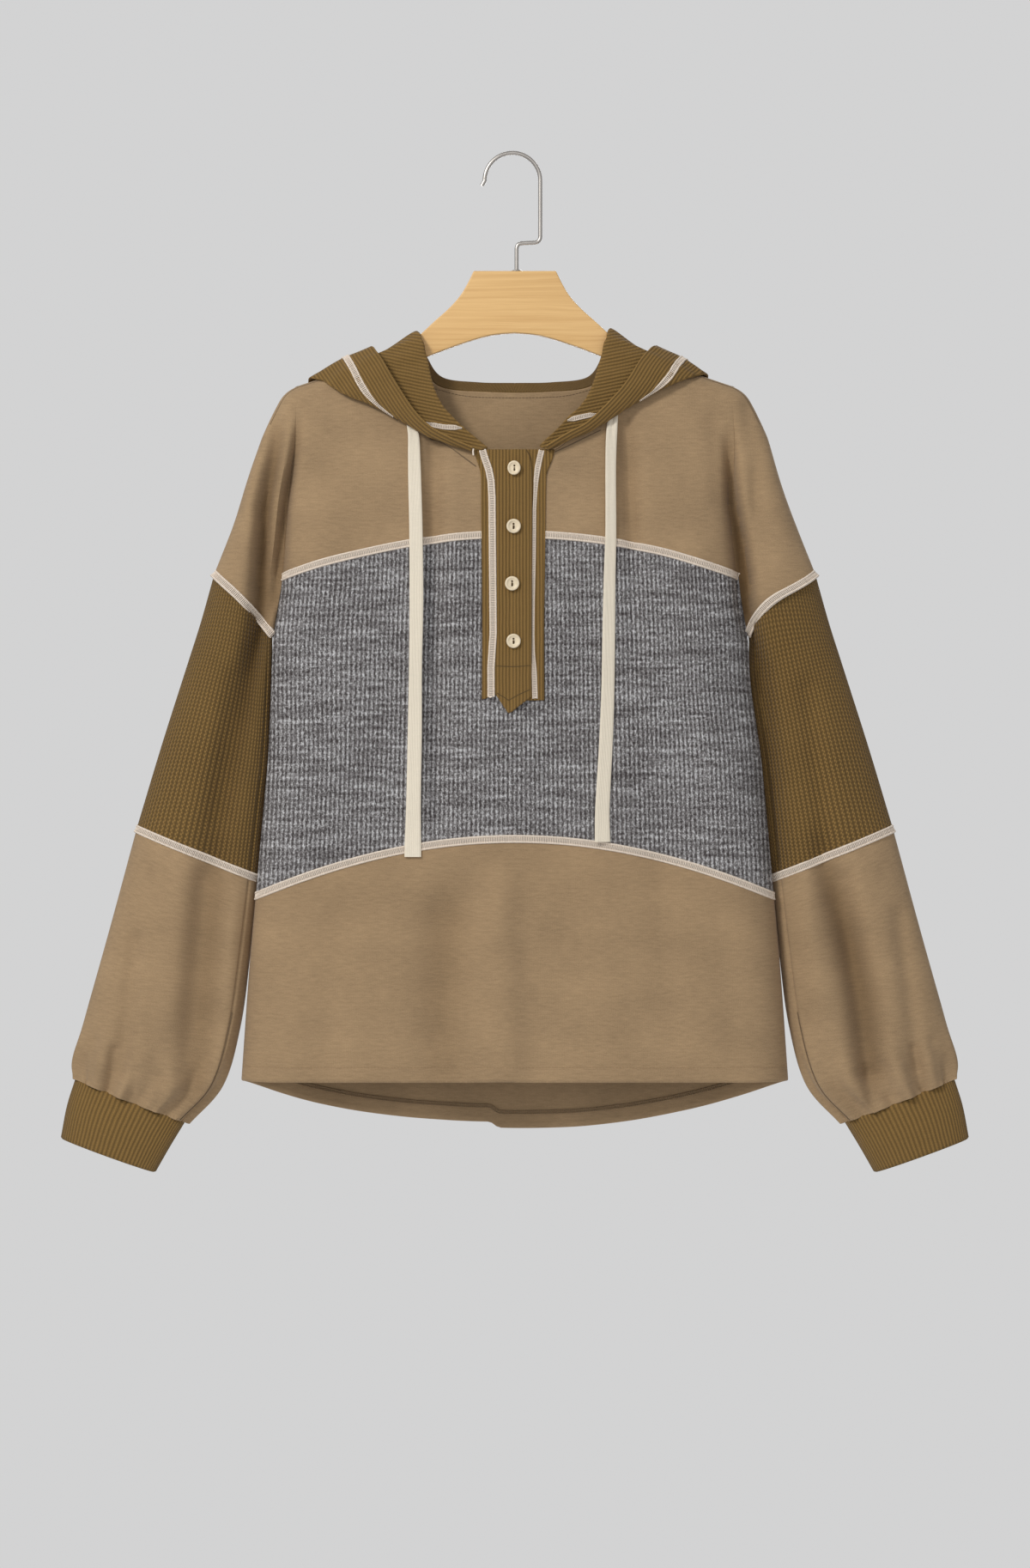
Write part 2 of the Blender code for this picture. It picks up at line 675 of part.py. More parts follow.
UNDER_SHARES = (0.0, 0.35, 0.65, 1.0)
OVER_SHARES = (0.0, 0.285, 0.45, 0.545, 0.65, 0.76, 1.0)
STRIP_ROWS = (0.0, 0.06, 0.12, 0.3, 0.5, 0.7, 0.9, 1.0)


def strip(name, table, shares, lift, foot=None):
    cloth = Cloth(STRIP_CLOTH)
    top, bottom = table[0].z, table[-1].z
    rows = []
    for v in STRIP_ROWS:
        row = []
        for share in shares:
            z = top + (bottom - top) * v
            left, right = read(table, z, "left"), read(table, z, "right")
            x = left + (right - left) * share
            if foot and v == 1.0:
                z = foot(x)
            row.append(cloth.add(on_front(x, z, lift(x) + STRIP_CLOTH)))
        rows.append(row)
    cloth.fill(rows)
    return cloth.build(name, olive())


def over_lift(x):
    """The over strip rests on the front, and steps up where it passes over the under strip."""
    return SEAM + (OVER_LIFT - SEAM) * ease(-4.0, 1.0, x)


def under_lift(_):
    return SEAM


def over_foot(x):
    """The over strip's pointed lower edge, straight between its corners."""
    for a, b in zip(OVER_POINT, OVER_POINT[1:]):
        if x <= b.x:
            return a.z + (b.z - a.z) * max(x - a.x, 0.0) / (b.x - a.x)
    return OVER_POINT[-1].z


def placket():
    strip("placket_under", UNDER_STRIP, UNDER_SHARES, under_lift)
    strip("placket_over", OVER_STRIP, OVER_SHARES, over_lift, foot=over_foot)


def hidden_cutter(name, radius, depth, place):
    bpy.ops.mesh.primitive_cylinder_add(vertices=6, radius=radius * MM, depth=depth * MM)
    cutter = bpy.context.object
    cutter.name = name
    cutter.rotation_euler = (math.pi / 2, 0.0, 0.0)
    cutter.location = place
    cutter.hide_render = True
    cutter.display_type = "WIRE"
    return cutter


def button_seat(spot):
    """How far out a button's back lies, just clear of the over strip under all of it."""
    reach = BUTTON_PROFILE[-2].radius
    rests = []
    for k in range(8):
        turn = 2.0 * math.pi * k / 8
        x, z = spot.x + reach * math.cos(turn), spot.z + reach * math.sin(turn)
        rests.append(over_lift(x) - front_face(x, z).y)
    return max(rests) + STRIP_CLOTH + SEAM


def buttons():
    """Turned buttons with a raised rim, each with its two holes one above the other."""
    around = BUTTON_AROUND
    for number, spot in enumerate(BUTTONS, 1):
        points = []
        for radius, height in BUTTON_PROFILE:
            for k in range(around):
                turn = 2.0 * math.pi * k / around
                points.append(Vector((radius * math.cos(turn), -height, radius * math.sin(turn))))
        last = len(points) - around
        faces = [list(range(around)), list(range(last + around - 1, last - 1, -1))]
        for start in range(0, last, around):
            for k in range(around):
                n = (k + 1) % around
                faces.append([start + k, start + around + k, start + around + n, start + n])
        made = make_object(f"button_{number}", points, faces, horn())
        base = button_seat(spot)
        made.location = ((GARMENT_X + spot.x) * MM, -base * MM, spot.z * MM)
        for up in (-0.5, 0.5):
            place = ((GARMENT_X + spot.x) * MM, -(base + 1.0) * MM, (spot.z + up * BUTTON_HOLE_APART) * MM)
            cutter = hidden_cutter(f"hole_{number}_{'low' if up < 0 else 'high'}", BUTTON_HOLE, 8.0, place)
            cut = made.modifiers.new("hole", "BOOLEAN")
            cut.object = cutter
            cut.operation = "DIFFERENCE"


Cord = namedtuple("Cord", "x z width")
DRAWCORD_LEFT = (
    Cord(-90.0, -226.0, 5.0), Cord(-85.5, -236.0, 8.0), Cord(-82.0, -252.0, 9.2), Cord(-80.6, -304.0, 10.2),
    Cord(-80.0, -376.0, 11.2), Cord(-80.0, -448.0, 12.0), Cord(-81.4, -520.0, 13.0), Cord(-82.0, -590.0, 14.0),
)
DRAWCORD_RIGHT = (
    Cord(84.5, -225.5, 5.0), Cord(82.5, -236.0, 8.0), Cord(81.8, -252.0, 9.2), Cord(81.5, -304.0, 10.2),
    Cord(80.0, -360.0, 11.0), Cord(79.0, -412.0, 12.0), Cord(77.0, -484.0, 13.0), Cord(75.0, -576.0, 14.0),
)
CORD_THICK = 2.0
CORD_REST = 0.4             # its back face above the cloth
CORD_SECTION = ((-1.0, 0.35), (-0.8, 1.0), (0.8, 1.0), (1.0, 0.35), (0.85, 0.0), (-0.85, 0.0))


def drawcord(name, table):
    """A flat cord lying down the front, its width across and its back face just clear of the cloth."""
    path = smooth_path([(c.x, c.width, c.z) for c in table], 3)
    points, rows = [], []
    for p in path:
        half = p.y / 2
        rest = max(-front_face(p.x + dx, p.z).y for dx in (-half, 0.0, half)) + CORD_REST
        row = []
        for dx, dy in CORD_SECTION:
            row.append(len(points))
            points.append(Vector((p.x + dx * half, -(rest + dy * CORD_THICK), p.z)))
        rows.append(row)
    faces = [rows[0], rows[-1][::-1]]
    sides = len(CORD_SECTION)
    for upper, lower in zip(rows, rows[1:]):
        for k in range(sides):
            n = (k + 1) % sides
            faces.append([upper[k], lower[k], lower[n], upper[n]])
    return make_object(name, points, faces, cream())


# ---------------------------------------------------------------- hanger
WOOD_THICK = 9.0
WOOD_ROUND = 3.6
BLOCK_TOP = -98.0
BLOCK_SIDE = (              # the block's edge down to where the cloth begins
    Outline(34.6, -98.0), Outline(40.0, -109.0), Outline(46.5, -119.5), Outline(56.0, -130.0),
    Outline(67.0, -139.8), Outline(79.0, -151.0),
)
ARM_UNDER = (
    Outline(181.0, -211.0), Outline(147.0, -199.0), Outline(110.0, -185.0), Outline(74.0, -170.0),
    Outline(43.0, -158.5), Outline(20.0, -152.0), Outline(0.0, -150.0),
)
ARM_END = (Outline(186.5, -201.5), Outline(187.5, -207.0), Outline(185.5, -211.5))
ARM_TOP = (82.0, 185.0)     # where the top edge lies under the shoulder line
SEAT = CLOTH + 0.5          # the wood's top edge below the cloth's outer face


def half_outline():
    """The hanger's right half, from the top of its block round the end of the arm to its middle underneath."""
    side = smooth_path([(p.x, p.z, 0.0) for p in BLOCK_SIDE], 2)
    top = smooth_path([(p.x, p.z, 0.0) for p in SHOULDER if p.x < ARM_TOP[1]], 2)
    lowered = []
    for a, b in zip(top, top[1:]):
        along_line = (b - a).normalized()
        lowered.append(a + Vector((along_line.y, -along_line.x, 0.0)) * SEAT)
    end = [Vector((p.x, p.z, 0.0)) for p in ARM_END]
    under = smooth_path([(p.x, p.z, 0.0) for p in ARM_UNDER], 2)
    return side + [p for p in lowered if p.x > ARM_TOP[0]] + end + under


def hanger_body():
    right = half_outline()
    left = [Vector((-p.x, p.y, 0.0)) for p in right[:-1]][::-1]
    outline = right + left
    count = len(outline)
    points = [Vector((p.x, y, p.y)) for y in (-WOOD_THICK / 2, WOOD_THICK / 2) for p in outline]
    faces = [list(range(count - 1, -1, -1)), list(range(count, 2 * count))]
    for k in range(count):
        n = (k + 1) % count
        faces.append([k, n, n + count, k + count])
    made = make_object("hanger_body", points, faces, wood())
    bevel = made.modifiers.new("rounding", "BEVEL")
    bevel.width = WOOD_ROUND * MM
    bevel.segments = 2
    bevel.limit_method = "ANGLE"
    bevel.angle_limit = math.radians(60.0)
    return made


WIRE = 3.5
HOOK_RADIUS = 23.4          # of the wire's middle
HOOK_TIP = (-25.8, -26.0)
STEM_X = 3.5
HOOK_CORNERS = ((HOOK_RADIUS, -73.5), (STEM_X, -74.5))
CORNER_ROUND = 5.0
HOOK_STEPS = 16


def rounded_corner(before, corner, after, radius, steps=4):
    """Points that round a corner of a path, along a curve pulled towards it."""
    before, corner, after = Vector(before), Vector(corner), Vector(after)
    start = corner + (before - corner).normalized() * radius
    end = corner + (after - corner).normalized() * radius
    shares = [k / steps for k in range(steps + 1)]
    return [start.lerp(corner, share).lerp(corner.lerp(end, share), share) for share in shares]


def hanger_hook():
    """Bent wire: tip, half turn, straight side, jog back to the middle and stem."""
    middle = WIRE / 2 - HOOK_RADIUS
    path = [Vector(HOOK_TIP), Vector((-HOOK_RADIUS, middle))]
    for k in range(1, HOOK_STEPS + 1):
        turn = math.pi * (1.0 - k / HOOK_STEPS)
        path.append(Vector((HOOK_RADIUS * math.cos(turn), middle + HOOK_RADIUS * math.sin(turn))))
    first, second = HOOK_CORNERS
    stem_end = (STEM_X, BLOCK_TOP + SEAM)
    path += rounded_corner((HOOK_RADIUS, middle), first, second, CORNER_ROUND)
    path += rounded_corner(first, second, stem_end, CORNER_ROUND)
    path.append(Vector(stem_end))
    curve = bpy.data.curves.new("hanger_hook", "CURVE")
    curve.dimensions = "3D"
    spline = curve.splines.new("POLY")
    spline.points.add(len(path) - 1)
    for point, at in zip(spline.points, path):
        point.co = (at.x * MM, 0.0, at.y * MM, 1.0)
    curve.bevel_depth = WIRE / 2 * MM
    curve.bevel_resolution = 2
    curve.use_fill_caps = True
    curve.materials.append(steel())
    made = bpy.data.objects.new("hanger_hook", curve)
    bpy.context.scene.collection.objects.link(made)
    return made


def build():
    """Clears the scene and makes every piece."""
    for old in list(bpy.data.objects):
        bpy.data.objects.remove(old)
    front_yoke("front_yoke_left", -1)
    front_yoke("front_yoke_right", 1)
    front_middle()
    front_lower()
    back()
    sleeves()
    hood("hood_left", -1)
    hood("hood_right", 1)
    placket()
    buttons()
    drawcord("drawcord_left", DRAWCORD_LEFT)
    drawcord("drawcord_right", DRAWCORD_RIGHT)
    hanger_body()
    hanger_hook()


build()
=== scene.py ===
"""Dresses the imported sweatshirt: cloth shells with their creases, knit and stitching, cords, buttons and hanger.

Tables are in millimetres, seen from the front: +X to the viewer's right, -Y towards the viewer and +Z up.
They repeat the named sizes of the solids, so each shell lies on its solid's form.
"""

import math
from collections import namedtuple

import bpy
import numpy as np
from bpy.props import FloatProperty, FloatVectorProperty, IntProperty, PointerProperty
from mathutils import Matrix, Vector
from mathutils.bvhtree import BVHTree


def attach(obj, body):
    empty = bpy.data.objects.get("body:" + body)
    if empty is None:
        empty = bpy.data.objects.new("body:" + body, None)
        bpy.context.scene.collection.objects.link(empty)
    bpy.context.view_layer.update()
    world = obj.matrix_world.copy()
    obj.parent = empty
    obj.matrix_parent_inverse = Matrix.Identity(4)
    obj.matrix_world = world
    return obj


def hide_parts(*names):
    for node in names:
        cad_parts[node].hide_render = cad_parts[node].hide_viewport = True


bl_info = {
    "name": "Henley Hoodie on a Hanger",
    "version": (1, 0, 0),
    "blender": (4, 5, 0),
    "location": "View3D > Sidebar > Sweatshirt",
    "description": "Builds a colour-block hooded sweatshirt with a buttoned placket, hung on a wooden hanger",
    "category": "Object",
}

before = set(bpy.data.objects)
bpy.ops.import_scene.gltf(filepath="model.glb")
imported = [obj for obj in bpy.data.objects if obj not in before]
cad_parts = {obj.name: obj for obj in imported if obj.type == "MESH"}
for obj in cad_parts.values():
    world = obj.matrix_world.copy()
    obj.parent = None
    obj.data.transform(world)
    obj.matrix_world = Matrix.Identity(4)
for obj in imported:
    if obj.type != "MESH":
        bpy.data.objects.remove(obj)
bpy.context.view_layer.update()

MM = 0.001
BODY_NAME = "root"

# ---------------------------------------------------------------- sizes shared with the solids
CLOTH = 1.6
HEM_CLOTH = 2.8
HOOD_CLOTH = 1.8
SEAM = 0.3
GARMENT_X = 2.0

Outline = namedtuple("Outline", "x z")
Width = namedtuple("Width", "z half")
Depth = namedtuple("Depth", "z front back edge")


def rows_of(kind, *rows):
    """A table's rows, with a name for each column."""
    return tuple(kind(*row) for row in rows)


SHOULDER = rows_of(Outline,
    (84, -150.5), (95, -159), (110, -169), (147, -182.5), (172, -191), (184.5, -195.5), (194, -202), (201, -213),
    (211, -234), (216, -248), (234, -304), (252.7, -352),
)
NECK_FRONT = rows_of(Outline,
    (4, -252), (30, -251), (45, -241), (57, -230), (67, -215), (74, -196), (79, -174), (84, -150.5),
)
NECK_BACK = rows_of(Outline,
    (0, -199.6), (30, -198.7), (57, -196.4), (70, -190), (78, -175), (84, -150.5),
)
BODY = rows_of(Width,
    (-192, 181.6), (-217, 183), (-286, 187), (-355, 192), (-404, 199.4), (-448, 202), (-534, 210), (-623, 218),
    (-685, 223.5), (-777, 230),
)
DEPTHS = rows_of(Depth,
    (-150, 10, 10, 10), (-200, 13.5, 13, 12), (-250, 18, 16, 20), (-350, 28, 21, 26), (-575, 32, 27, 45),
    (-777, 34, 28, 45), (-822, 34, 28, 45),
)
FOLD_X = 181.8
UNDERARM = Outline(199.4, -404.0)
ARMHOLE = Outline(252.7, -352.0)
ARM_DEPTH = 20.0
BODY_ROUND = 45.0
ARM_SPREAD = 0.31
FRONT_FOLD = (-205.0, -335.0)
BACK_FOLD = (-300.0, -404.0)
ARCH_UPPER = (-320.5, 35.0)
ARCH_LOWER = (-575.0, 48.5)
FRONT_HEM = -777.0
BACK_HEM = (-820.0, 42.0)
BACK_HEM_POWER = 2.2
HEM_BAND = 12.0
SLIT = 4.0
SLIT_FOOT = -452.0

Crease = namedtuple("Crease", "x1 z1 x2 z2 width depth")
SOLID_CREASES = rows_of(Crease,  # the solids' own troughs, and ridges with a minus depth
    (-66, -232, -62, -560, 9, 4.5), (94, -226, 98, -330, 9, 3.5), (-40, -620, -34, -760, 12, 4),
    (-10, -610, -4, -765, 13, -3.5), (120, -600, 134, -740, 16, 3), (-146, -640, -158, -765, 15, 3),
    (-200, -214, -214, -300, 7, 3), (194, -214, 206, -300, 7, 3), (245, -450, 262, -578, 9, 4.5),
    (-236, -440, -252, -560, 9, 3), (-262, -610, -276, -770, 10, 6), (277, -610, 294, -770, 10, 6),
    (-318, -660, -330, -770, 8, 4), (322, -640, 338, -765, 8, 4),
)
FRONT_CREASES = rows_of(Crease,  # softer ones that the cloth adds
    (-70, -238, -66, -420, 7, 2.6), (-52, -250, -48, -400, 12, -1.2), (93, -226, 97, -310, 6, 2.2),
    (-104, -300, -110, -560, 20, 1.6), (-10, -480, -6, -600, 24, -1.6), (38, -470, 44, -760, 24, 1.6),
    (120, -360, 128, -600, 20, 1.8), (158, -330, 166, -520, 14, -1.4), (-150, -360, -162, -560, 16, 1.4),
    (10, -620, 16, -770, 14, 1.6), (70, -620, 78, -772, 18, -2), (176, -640, 186, -770, 14, 2.2),
    (-90, -640, -98, -772, 20, -1.6), (-196, -650, -204, -770, 12, 2), (-40, -620, -34, -760, 12, -3.2),
    (60, -262, 96, -300, 16, 0.9), (-150, -230, -130, -300, 18, 1), (166, -226, 176, -290, 8, 2.8),
    (226, -262, 224, -380, 9, -1.6),
)
FULL_FOLD = 20.0            # a fold this deep takes on the whole of the painted fold shade
# painted shade: the colour is multiplied by this at the bottom of the long folds, where shade falls
PAINTED_FOLD_SHADE = (0.40, 0.35, 0.27)
FOLDS = (                   # long ones on the front: x, z, width and depth at each point along them
    ((-195, -218, 6, 0), (-198, -236, 6.5, 7), (-201, -262, 7, 13), (-206, -300, 7.5, 18), (-209, -340, 8.5, 19),
     (-211, -370, 9, 19), (-213, -400, 9.5, 16), (-224, -450, 12, 12), (-238, -510, 14, 9), (-250, -570, 15, 8),
     (-256, -640, 17, 9), (-262, -720, 17, 9), (-268, -785, 13, 6), (-272, -815, 9, 0)),
    ((-179, -220, 4.5, 0), (-183, -240, 4.5, 5), (-187, -275, 4.5, 10), (-191, -310, 4.5, 12), (-194, -345, 5, 12),
     (-198, -375, 6, 10), (-201, -395, 6, 0)),
    ((177, -228, 4.5, 0), (180, -250, 5, 8), (185, -285, 5, 15), (191, -320, 6, 20), (196, -355, 7, 24),
     (199, -385, 7, 22), (203, -408, 7, 13), (211, -440, 9, 10), (215, -520, 9, 9), (219, -590, 9, 7),
     (222, -620, 8, 0)),
    ((206, -226, 6, 0), (206, -260, 7, 2.5), (203, -320, 8, 1.5), (204, -350, 8, 0)),
    ((196, -250, 6, 0), (198, -290, 6, -2), (203, -340, 7, -2), (206, -370, 7, 0)),
    ((252, -555, 9, 0), (259, -594, 11, 9), (268, -625, 13, 14), (280, -665, 15, 15), (292, -712, 15, 14),
     (300, -770, 13, 11), (303, -805, 10, 0)),
    ((240, -600, 12, 0), (244, -640, 13, -4.5), (254, -700, 13, -4), (264, -760, 12, 0)),
    ((-232, -610, 9, 0), (-236, -654, 10, -3), (-240, -730, 10, -3), (-246, -790, 9, 0)),
    ((-52, -600, 16, 0), (-56, -640, 20, 7), (-60, -700, 20, 7), (-58, -768, 18, 5)),
    ((-72, -250, 8, 0), (-70, -300, 8, 3), (-68, -400, 9, 5), (-66, -520, 9, 4), (-64, -580, 9, 0)),
    ((96, -226, 7, 0), (96, -260, 8, 4), (98, -330, 8, 4), (100, -400, 9, 3), (102, -460, 9, 0)),
    ((-14, -600, 12, 0), (-17, -640, 12, -2), (-18, -768, 12, -2)),
)
SLEEVE_CREASES = rows_of(Crease,  # short ones at the cuffs
    (-352, -745, -357, -778, 5, 2.5), (-336, -752, -341, -785, 4, 2.8), (-318, -770, -322, -794, 5, 2.5),
    (-296, -775, -298, -803, 5, 2), (350, -745, 358, -776, 5, 2.4), (334, -750, 342, -784, 4, 3),
    (310, -765, 316, -790, 5, 2.5), (294, -770, 299, -798, 5, 3),
)
BACK_CREASES = rows_of(Crease,
    (-70, -420, -84, -800, 22, 3.2), (-12, -460, -20, -812, 18, -3), (44, -430, 52, -806, 20, 2.8),
    (112, -480, 130, -800, 22, -2.4), (-136, -470, -152, -790, 18, -2.2), (150, -300, 172, -420, 12, 3),
    (-150, -300, -172, -430, 12, 3.2), (178, -560, 196, -780, 14, 2), (-180, -590, -198, -780, 14, 2.4),
    (-30, -230, -36, -420, 24, 1.4), (64, -240, 60, -400, 26, 1.2), (208, -230, 226, -340, 8, 2.2),
    (-206, -230, -224, -330, 8, 2.4),
)
SLEEVE_BACK_CREASES = rows_of(Crease,
    (246, -440, 262, -570, 10, 3.4), (-242, -430, -256, -560, 10, 3), (286, -600, 306, -760, 12, 4),
    (-282, -610, -298, -760, 12, 4.2), (330, -680, 342, -770, 8, 3), (-326, -670, -338, -770, 8, 2.6),
)


# ---------------------------------------------------------------- settings that a user would change
def colour(label, about, value):
    return FloatVectorProperty(
        name=label, description=about, subtype="COLOR", size=3, min=0.0, max=1.0, default=value
    )


def length(label, about, value, top=0.1):
    return FloatProperty(name=label, description=about, subtype="DISTANCE", unit="LENGTH", min=0.0, max=top,
                         precision=5, default=value)


def share(label, about, value, top=1.0):
    return FloatProperty(name=label, description=about, subtype="FACTOR", min=0.0, max=top, default=value)


class KnitSettings(bpy.types.PropertyGroup):
    """Colours and gauges of the knitted cloths."""

    taupe: colour("Taupe", "Body and lower sleeve jersey", (0.350, 0.238, 0.132))
    olive: colour("Olive", "Rib and waffle of hood, sleeves, cuffs and placket", (0.285, 0.168, 0.050))
    marl_light: colour("Marl light", "Palest yarn of the front panel", (0.66, 0.66, 0.67))
    marl_middle: colour("Marl middle", "Average yarn of the front panel", (0.215, 0.205, 0.204))
    marl_dark: colour("Marl dark", "Darkest yarn of the front panel", (0.050, 0.042, 0.042))
    marl_rib: length("Marl rib", "Distance between ribs of the front panel", 0.0037)
    waffle_rib: length("Waffle rib", "Distance between columns of the sleeve's waffle", 0.0030)
    fine_rib: length("Fine rib", "Distance between ribs of hood, cuffs and placket", 0.0028)
    wale: length("Jersey wale", "Distance between columns of the jersey", 0.0011)


class SeamSettings(bpy.types.PropertyGroup):
    """Coverstitch and plain stitching."""

    thread: colour("Thread", "Coverstitch thread", (0.82, 0.715, 0.605))
    width: share("Width", "Width of every coverstitch, as a share of its own", 1.0, top=2.0)
    pitch: length("Pitch", "Length of one coverstitch", 0.00145)
    thickness: length("Thickness", "Thread thickness", 0.0008)
    plain_pitch: length("Plain pitch", "Length of one plain stitch", 0.0028)
    seed: IntProperty(name="Seed", description="Picks the stitches' small unevenness", min=0, default=7)


class TrimSettings(bpy.types.PropertyGroup):
    """Cords, buttons and hanger."""

    cord: colour("Cord", "Drawcord cotton", (0.93, 0.84, 0.68))
    button: colour("Button", "Button's pale body", (0.78, 0.66, 0.47))
    wood: colour("Wood", "Hanger's varnished wood", (0.83, 0.535, 0.220))
    wood_dark: colour("Wood grain", "Darker grain lines", (0.66, 0.385, 0.135))
    steel: colour("Steel", "Hook's wire", (0.50, 0.47, 0.435))


class StageSettings(bpy.types.PropertyGroup):
    """Camera, light and floor."""

    distance: length("Camera distance", "From the camera to the garment", 3.6, top=10.0)
    view_height: length("View height", "Height that the picture covers at the garment", 1.3147, top=5.0)
    backdrop: colour("Backdrop", "What the camera sees behind the garment", (0.650, 0.650, 0.652))
    fill: share("Fill", "Strength of the light from all round", 0.46, top=2.0)
    key: FloatProperty(name="Key", description="Power of the main light", unit="POWER", min=0.0, default=50.0)


class SweatshirtSettings(bpy.types.PropertyGroup):
    """All settings of the sweatshirt."""

    knit: PointerProperty(type=KnitSettings)
    seam: PointerProperty(type=SeamSettings)
    trim: PointerProperty(type=TrimSettings)
    stage: PointerProperty(type=StageSettings)


def settings():
    return bpy.context.scene.sweatshirt


# ---------------------------------------------------------------- curves through tables
def read(table, at, column):
    """A column of a table at values of its first column, along a smooth curve through the rows."""
    rows = sorted(table, key=lambda row: row[0])
    x = np.array([row[0] for row in rows], float)
    y = np.array([getattr(row, column) for row in rows], float)
    last = len(x) - 1
    slopes = np.array([
        (y[min(i + 1, last)] - y[max(i - 1, 0)]) / (x[min(i + 1, last)] - x[max(i - 1, 0)]) for i in range(last + 1)
    ])
    at = np.clip(at, x[0], x[-1])
    k = np.clip(np.searchsorted(x, at, side="right") - 1, 0, last - 1)
    span = x[k + 1] - x[k]
    t = (at - x[k]) / span
    rise = t * t * (3.0 - 2.0 * t)
    bend = t * (1.0 - t) ** 2 * slopes[k] + t * t * (t - 1.0) * slopes[k + 1]
    return y[k] * (1.0 - rise) + y[k + 1] * rise + bend * span


def smooth_path(points, pieces):
    """Points along a curve through every given one, a number of pieces to each stretch. Works on rows of any shape."""
    p = np.asarray(points, float)
    ends = np.concatenate([[2.0 * p[0] - p[1]], p, [2.0 * p[-1] - p[-2]]])
    path = []
    for i in range(len(p) - 1):
        before, a, b, after = ends[i:i + 4]
        for k in range(pieces):
            t = k / pieces
            path.append(a + (b - before) * (0.5 * t) + (2.0 * before - 5.0 * a + 4.0 * b - after) * (0.5 * t * t)
                        + (3.0 * a - before - 3.0 * b + after) * (0.5 * t ** 3))
    path.append(p[-1])
    return np.array(path)


def even(path, count):
    """A path's points spread evenly along its length."""
    path = np.asarray(path, float)
    steps = run_along(path)
    at = np.linspace(0.0, steps[-1], count)
    return np.stack([np.interp(at, steps, path[:, i]) for i in range(path.shape[1])], axis=1)


def ease(lo, hi, at):
    t = np.clip((at - lo) / (hi - lo), 0.0, 1.0)
    return t * t * (3.0 - 2.0 * t)


def quarter(t):
    """Rises from 0 to 1 as a quarter circle."""
    return np.sqrt(np.maximum(1.0 - (1.0 - np.clip(t, 0.0, 1.0)) ** 2, 0.0))


def to_segment(x, z, x1, z1, x2, z2):
    dx, dz = x2 - x1, z2 - z1
    t = np.clip(((x - x1) * dx + (z - z1) * dz) / (dx * dx + dz * dz), 0.0, 1.0)
    return np.hypot(x - x1 - t * dx, z - z1 - t * dz)


LEAN = 3.5                  # how far the chest's folds lean to the left, at most
SEAM_WAY = (0.7157, 0.6983)     # the armhole seam's way, inwards and down
SEAM_RUN = 78.0
BOW_REACH = 26.0
BOW_RIGHT, BOW_LEFT = 9.5, 2.2
BOW_SHARES = (0.35, 0.94)   # how much of the bow goes inwards, and up


def unit(vectors):
    return vectors / np.maximum(np.linalg.norm(vectors, axis=-1, keepdims=True), 1e-9)


def run_along(points):
    """The distance along a path at each of its points."""
    return np.concatenate([[0.0], np.cumsum(np.linalg.norm(np.diff(points, axis=0), axis=1))])


def averaged(values, reach, **pad):
    """Each value as the mean of itself and a number of neighbours on both sides."""
    count = 2 * reach + 1
    return np.convolve(np.pad(values, reach, **(pad or {"mode": "edge"})), np.ones(count) / count, mode="valid")


def hang(points):
    """Small shifts by which this one hangs unevenly: the chest leans left, and the armhole seams bow upwards."""
    x, y, z = points.T
    away = np.abs(x)
    lean = LEAN * ease(-235.0, -300.0, z) * (1.0 - ease(-430.0, -520.0, z))
    lean = lean * ease(120.0, 165.0, away) * (1.0 - ease(205.0, 240.0, away))
    inwards, down = SEAM_WAY
    along = np.clip(inwards * (ARMHOLE.x - away) + down * (ARMHOLE.z - z), 0.0, SEAM_RUN)
    off = down * (ARMHOLE.x - away) + inwards * (z - ARMHOLE.z)
    bow = np.sin(math.pi * (along / SEAM_RUN) ** 1.5) * np.exp(-(off / BOW_REACH) ** 2) * ease(3.0, 0.0, y)
    bow = bow * np.where(x > 0.0, BOW_RIGHT, BOW_LEFT)
    return np.stack([x - lean - BOW_SHARES[0] * bow * np.sign(x), y, z + BOW_SHARES[1] * bow], axis=1)


SHOULDER_LINE = smooth_path([(p.x, p.z) for p in SHOULDER], 4)


def shoulder_distance(x, z):
    near = [to_segment(x, z, *a, *b) for a, b in zip(SHOULDER_LINE, SHOULDER_LINE[1:])]
    return np.min(near, axis=0)


def arm_edge(z):
    line = SHOULDER_LINE[::-1]
    inside = np.interp(z, line[:, 1], line[:, 0])
    return np.where(z < ARMHOLE.z, ARMHOLE.x + (ARMHOLE.z - z) * ARM_SPREAD, inside)


def crease(x, z, table):
    total = np.zeros_like(np.asarray(x, float))
    for c in table:
        away = to_segment(x, z, c.x1, c.z1, c.x2, c.z2) / c.width
        total += c.depth * np.exp(-away * away)
    return total


def long_folds(x, z):
    """The long folds: each takes its width and depth from the nearest place on its line."""
    total = np.zeros_like(np.asarray(x, float))
    for line in FOLDS:
        near, depth = np.full_like(total, 1e9), np.zeros_like(total)
        for (x1, z1, w1, d1), (x2, z2, w2, d2) in zip(line, line[1:]):
            dx, dz = x2 - x1, z2 - z1
            t = np.clip(((x - x1) * dx + (z - z1) * dz) / (dx * dx + dz * dz), 0.0, 1.0)
            away = np.hypot(x - x1 - t * dx, z - z1 - t * dz) / (w1 + t * (w2 - w1))
            closer = away < near
            near, depth = np.where(closer, away, near), np.where(closer, d1 + t * (d2 - d1), depth)
        total += depth * np.exp(-near * near)
    return total


def ripple(x, z, seed):
    """Slight unevenness of hanging cloth, about half a millimetre."""
    a = np.sin(x / 21.0 + seed) * np.sin(z / 47.0 + 1.7 * seed)
    b = np.sin((x + 0.35 * z) / 13.0 + 2.3 * seed) * np.sin(z / 29.0 - seed)
    return 0.34 * a + 0.2 * b


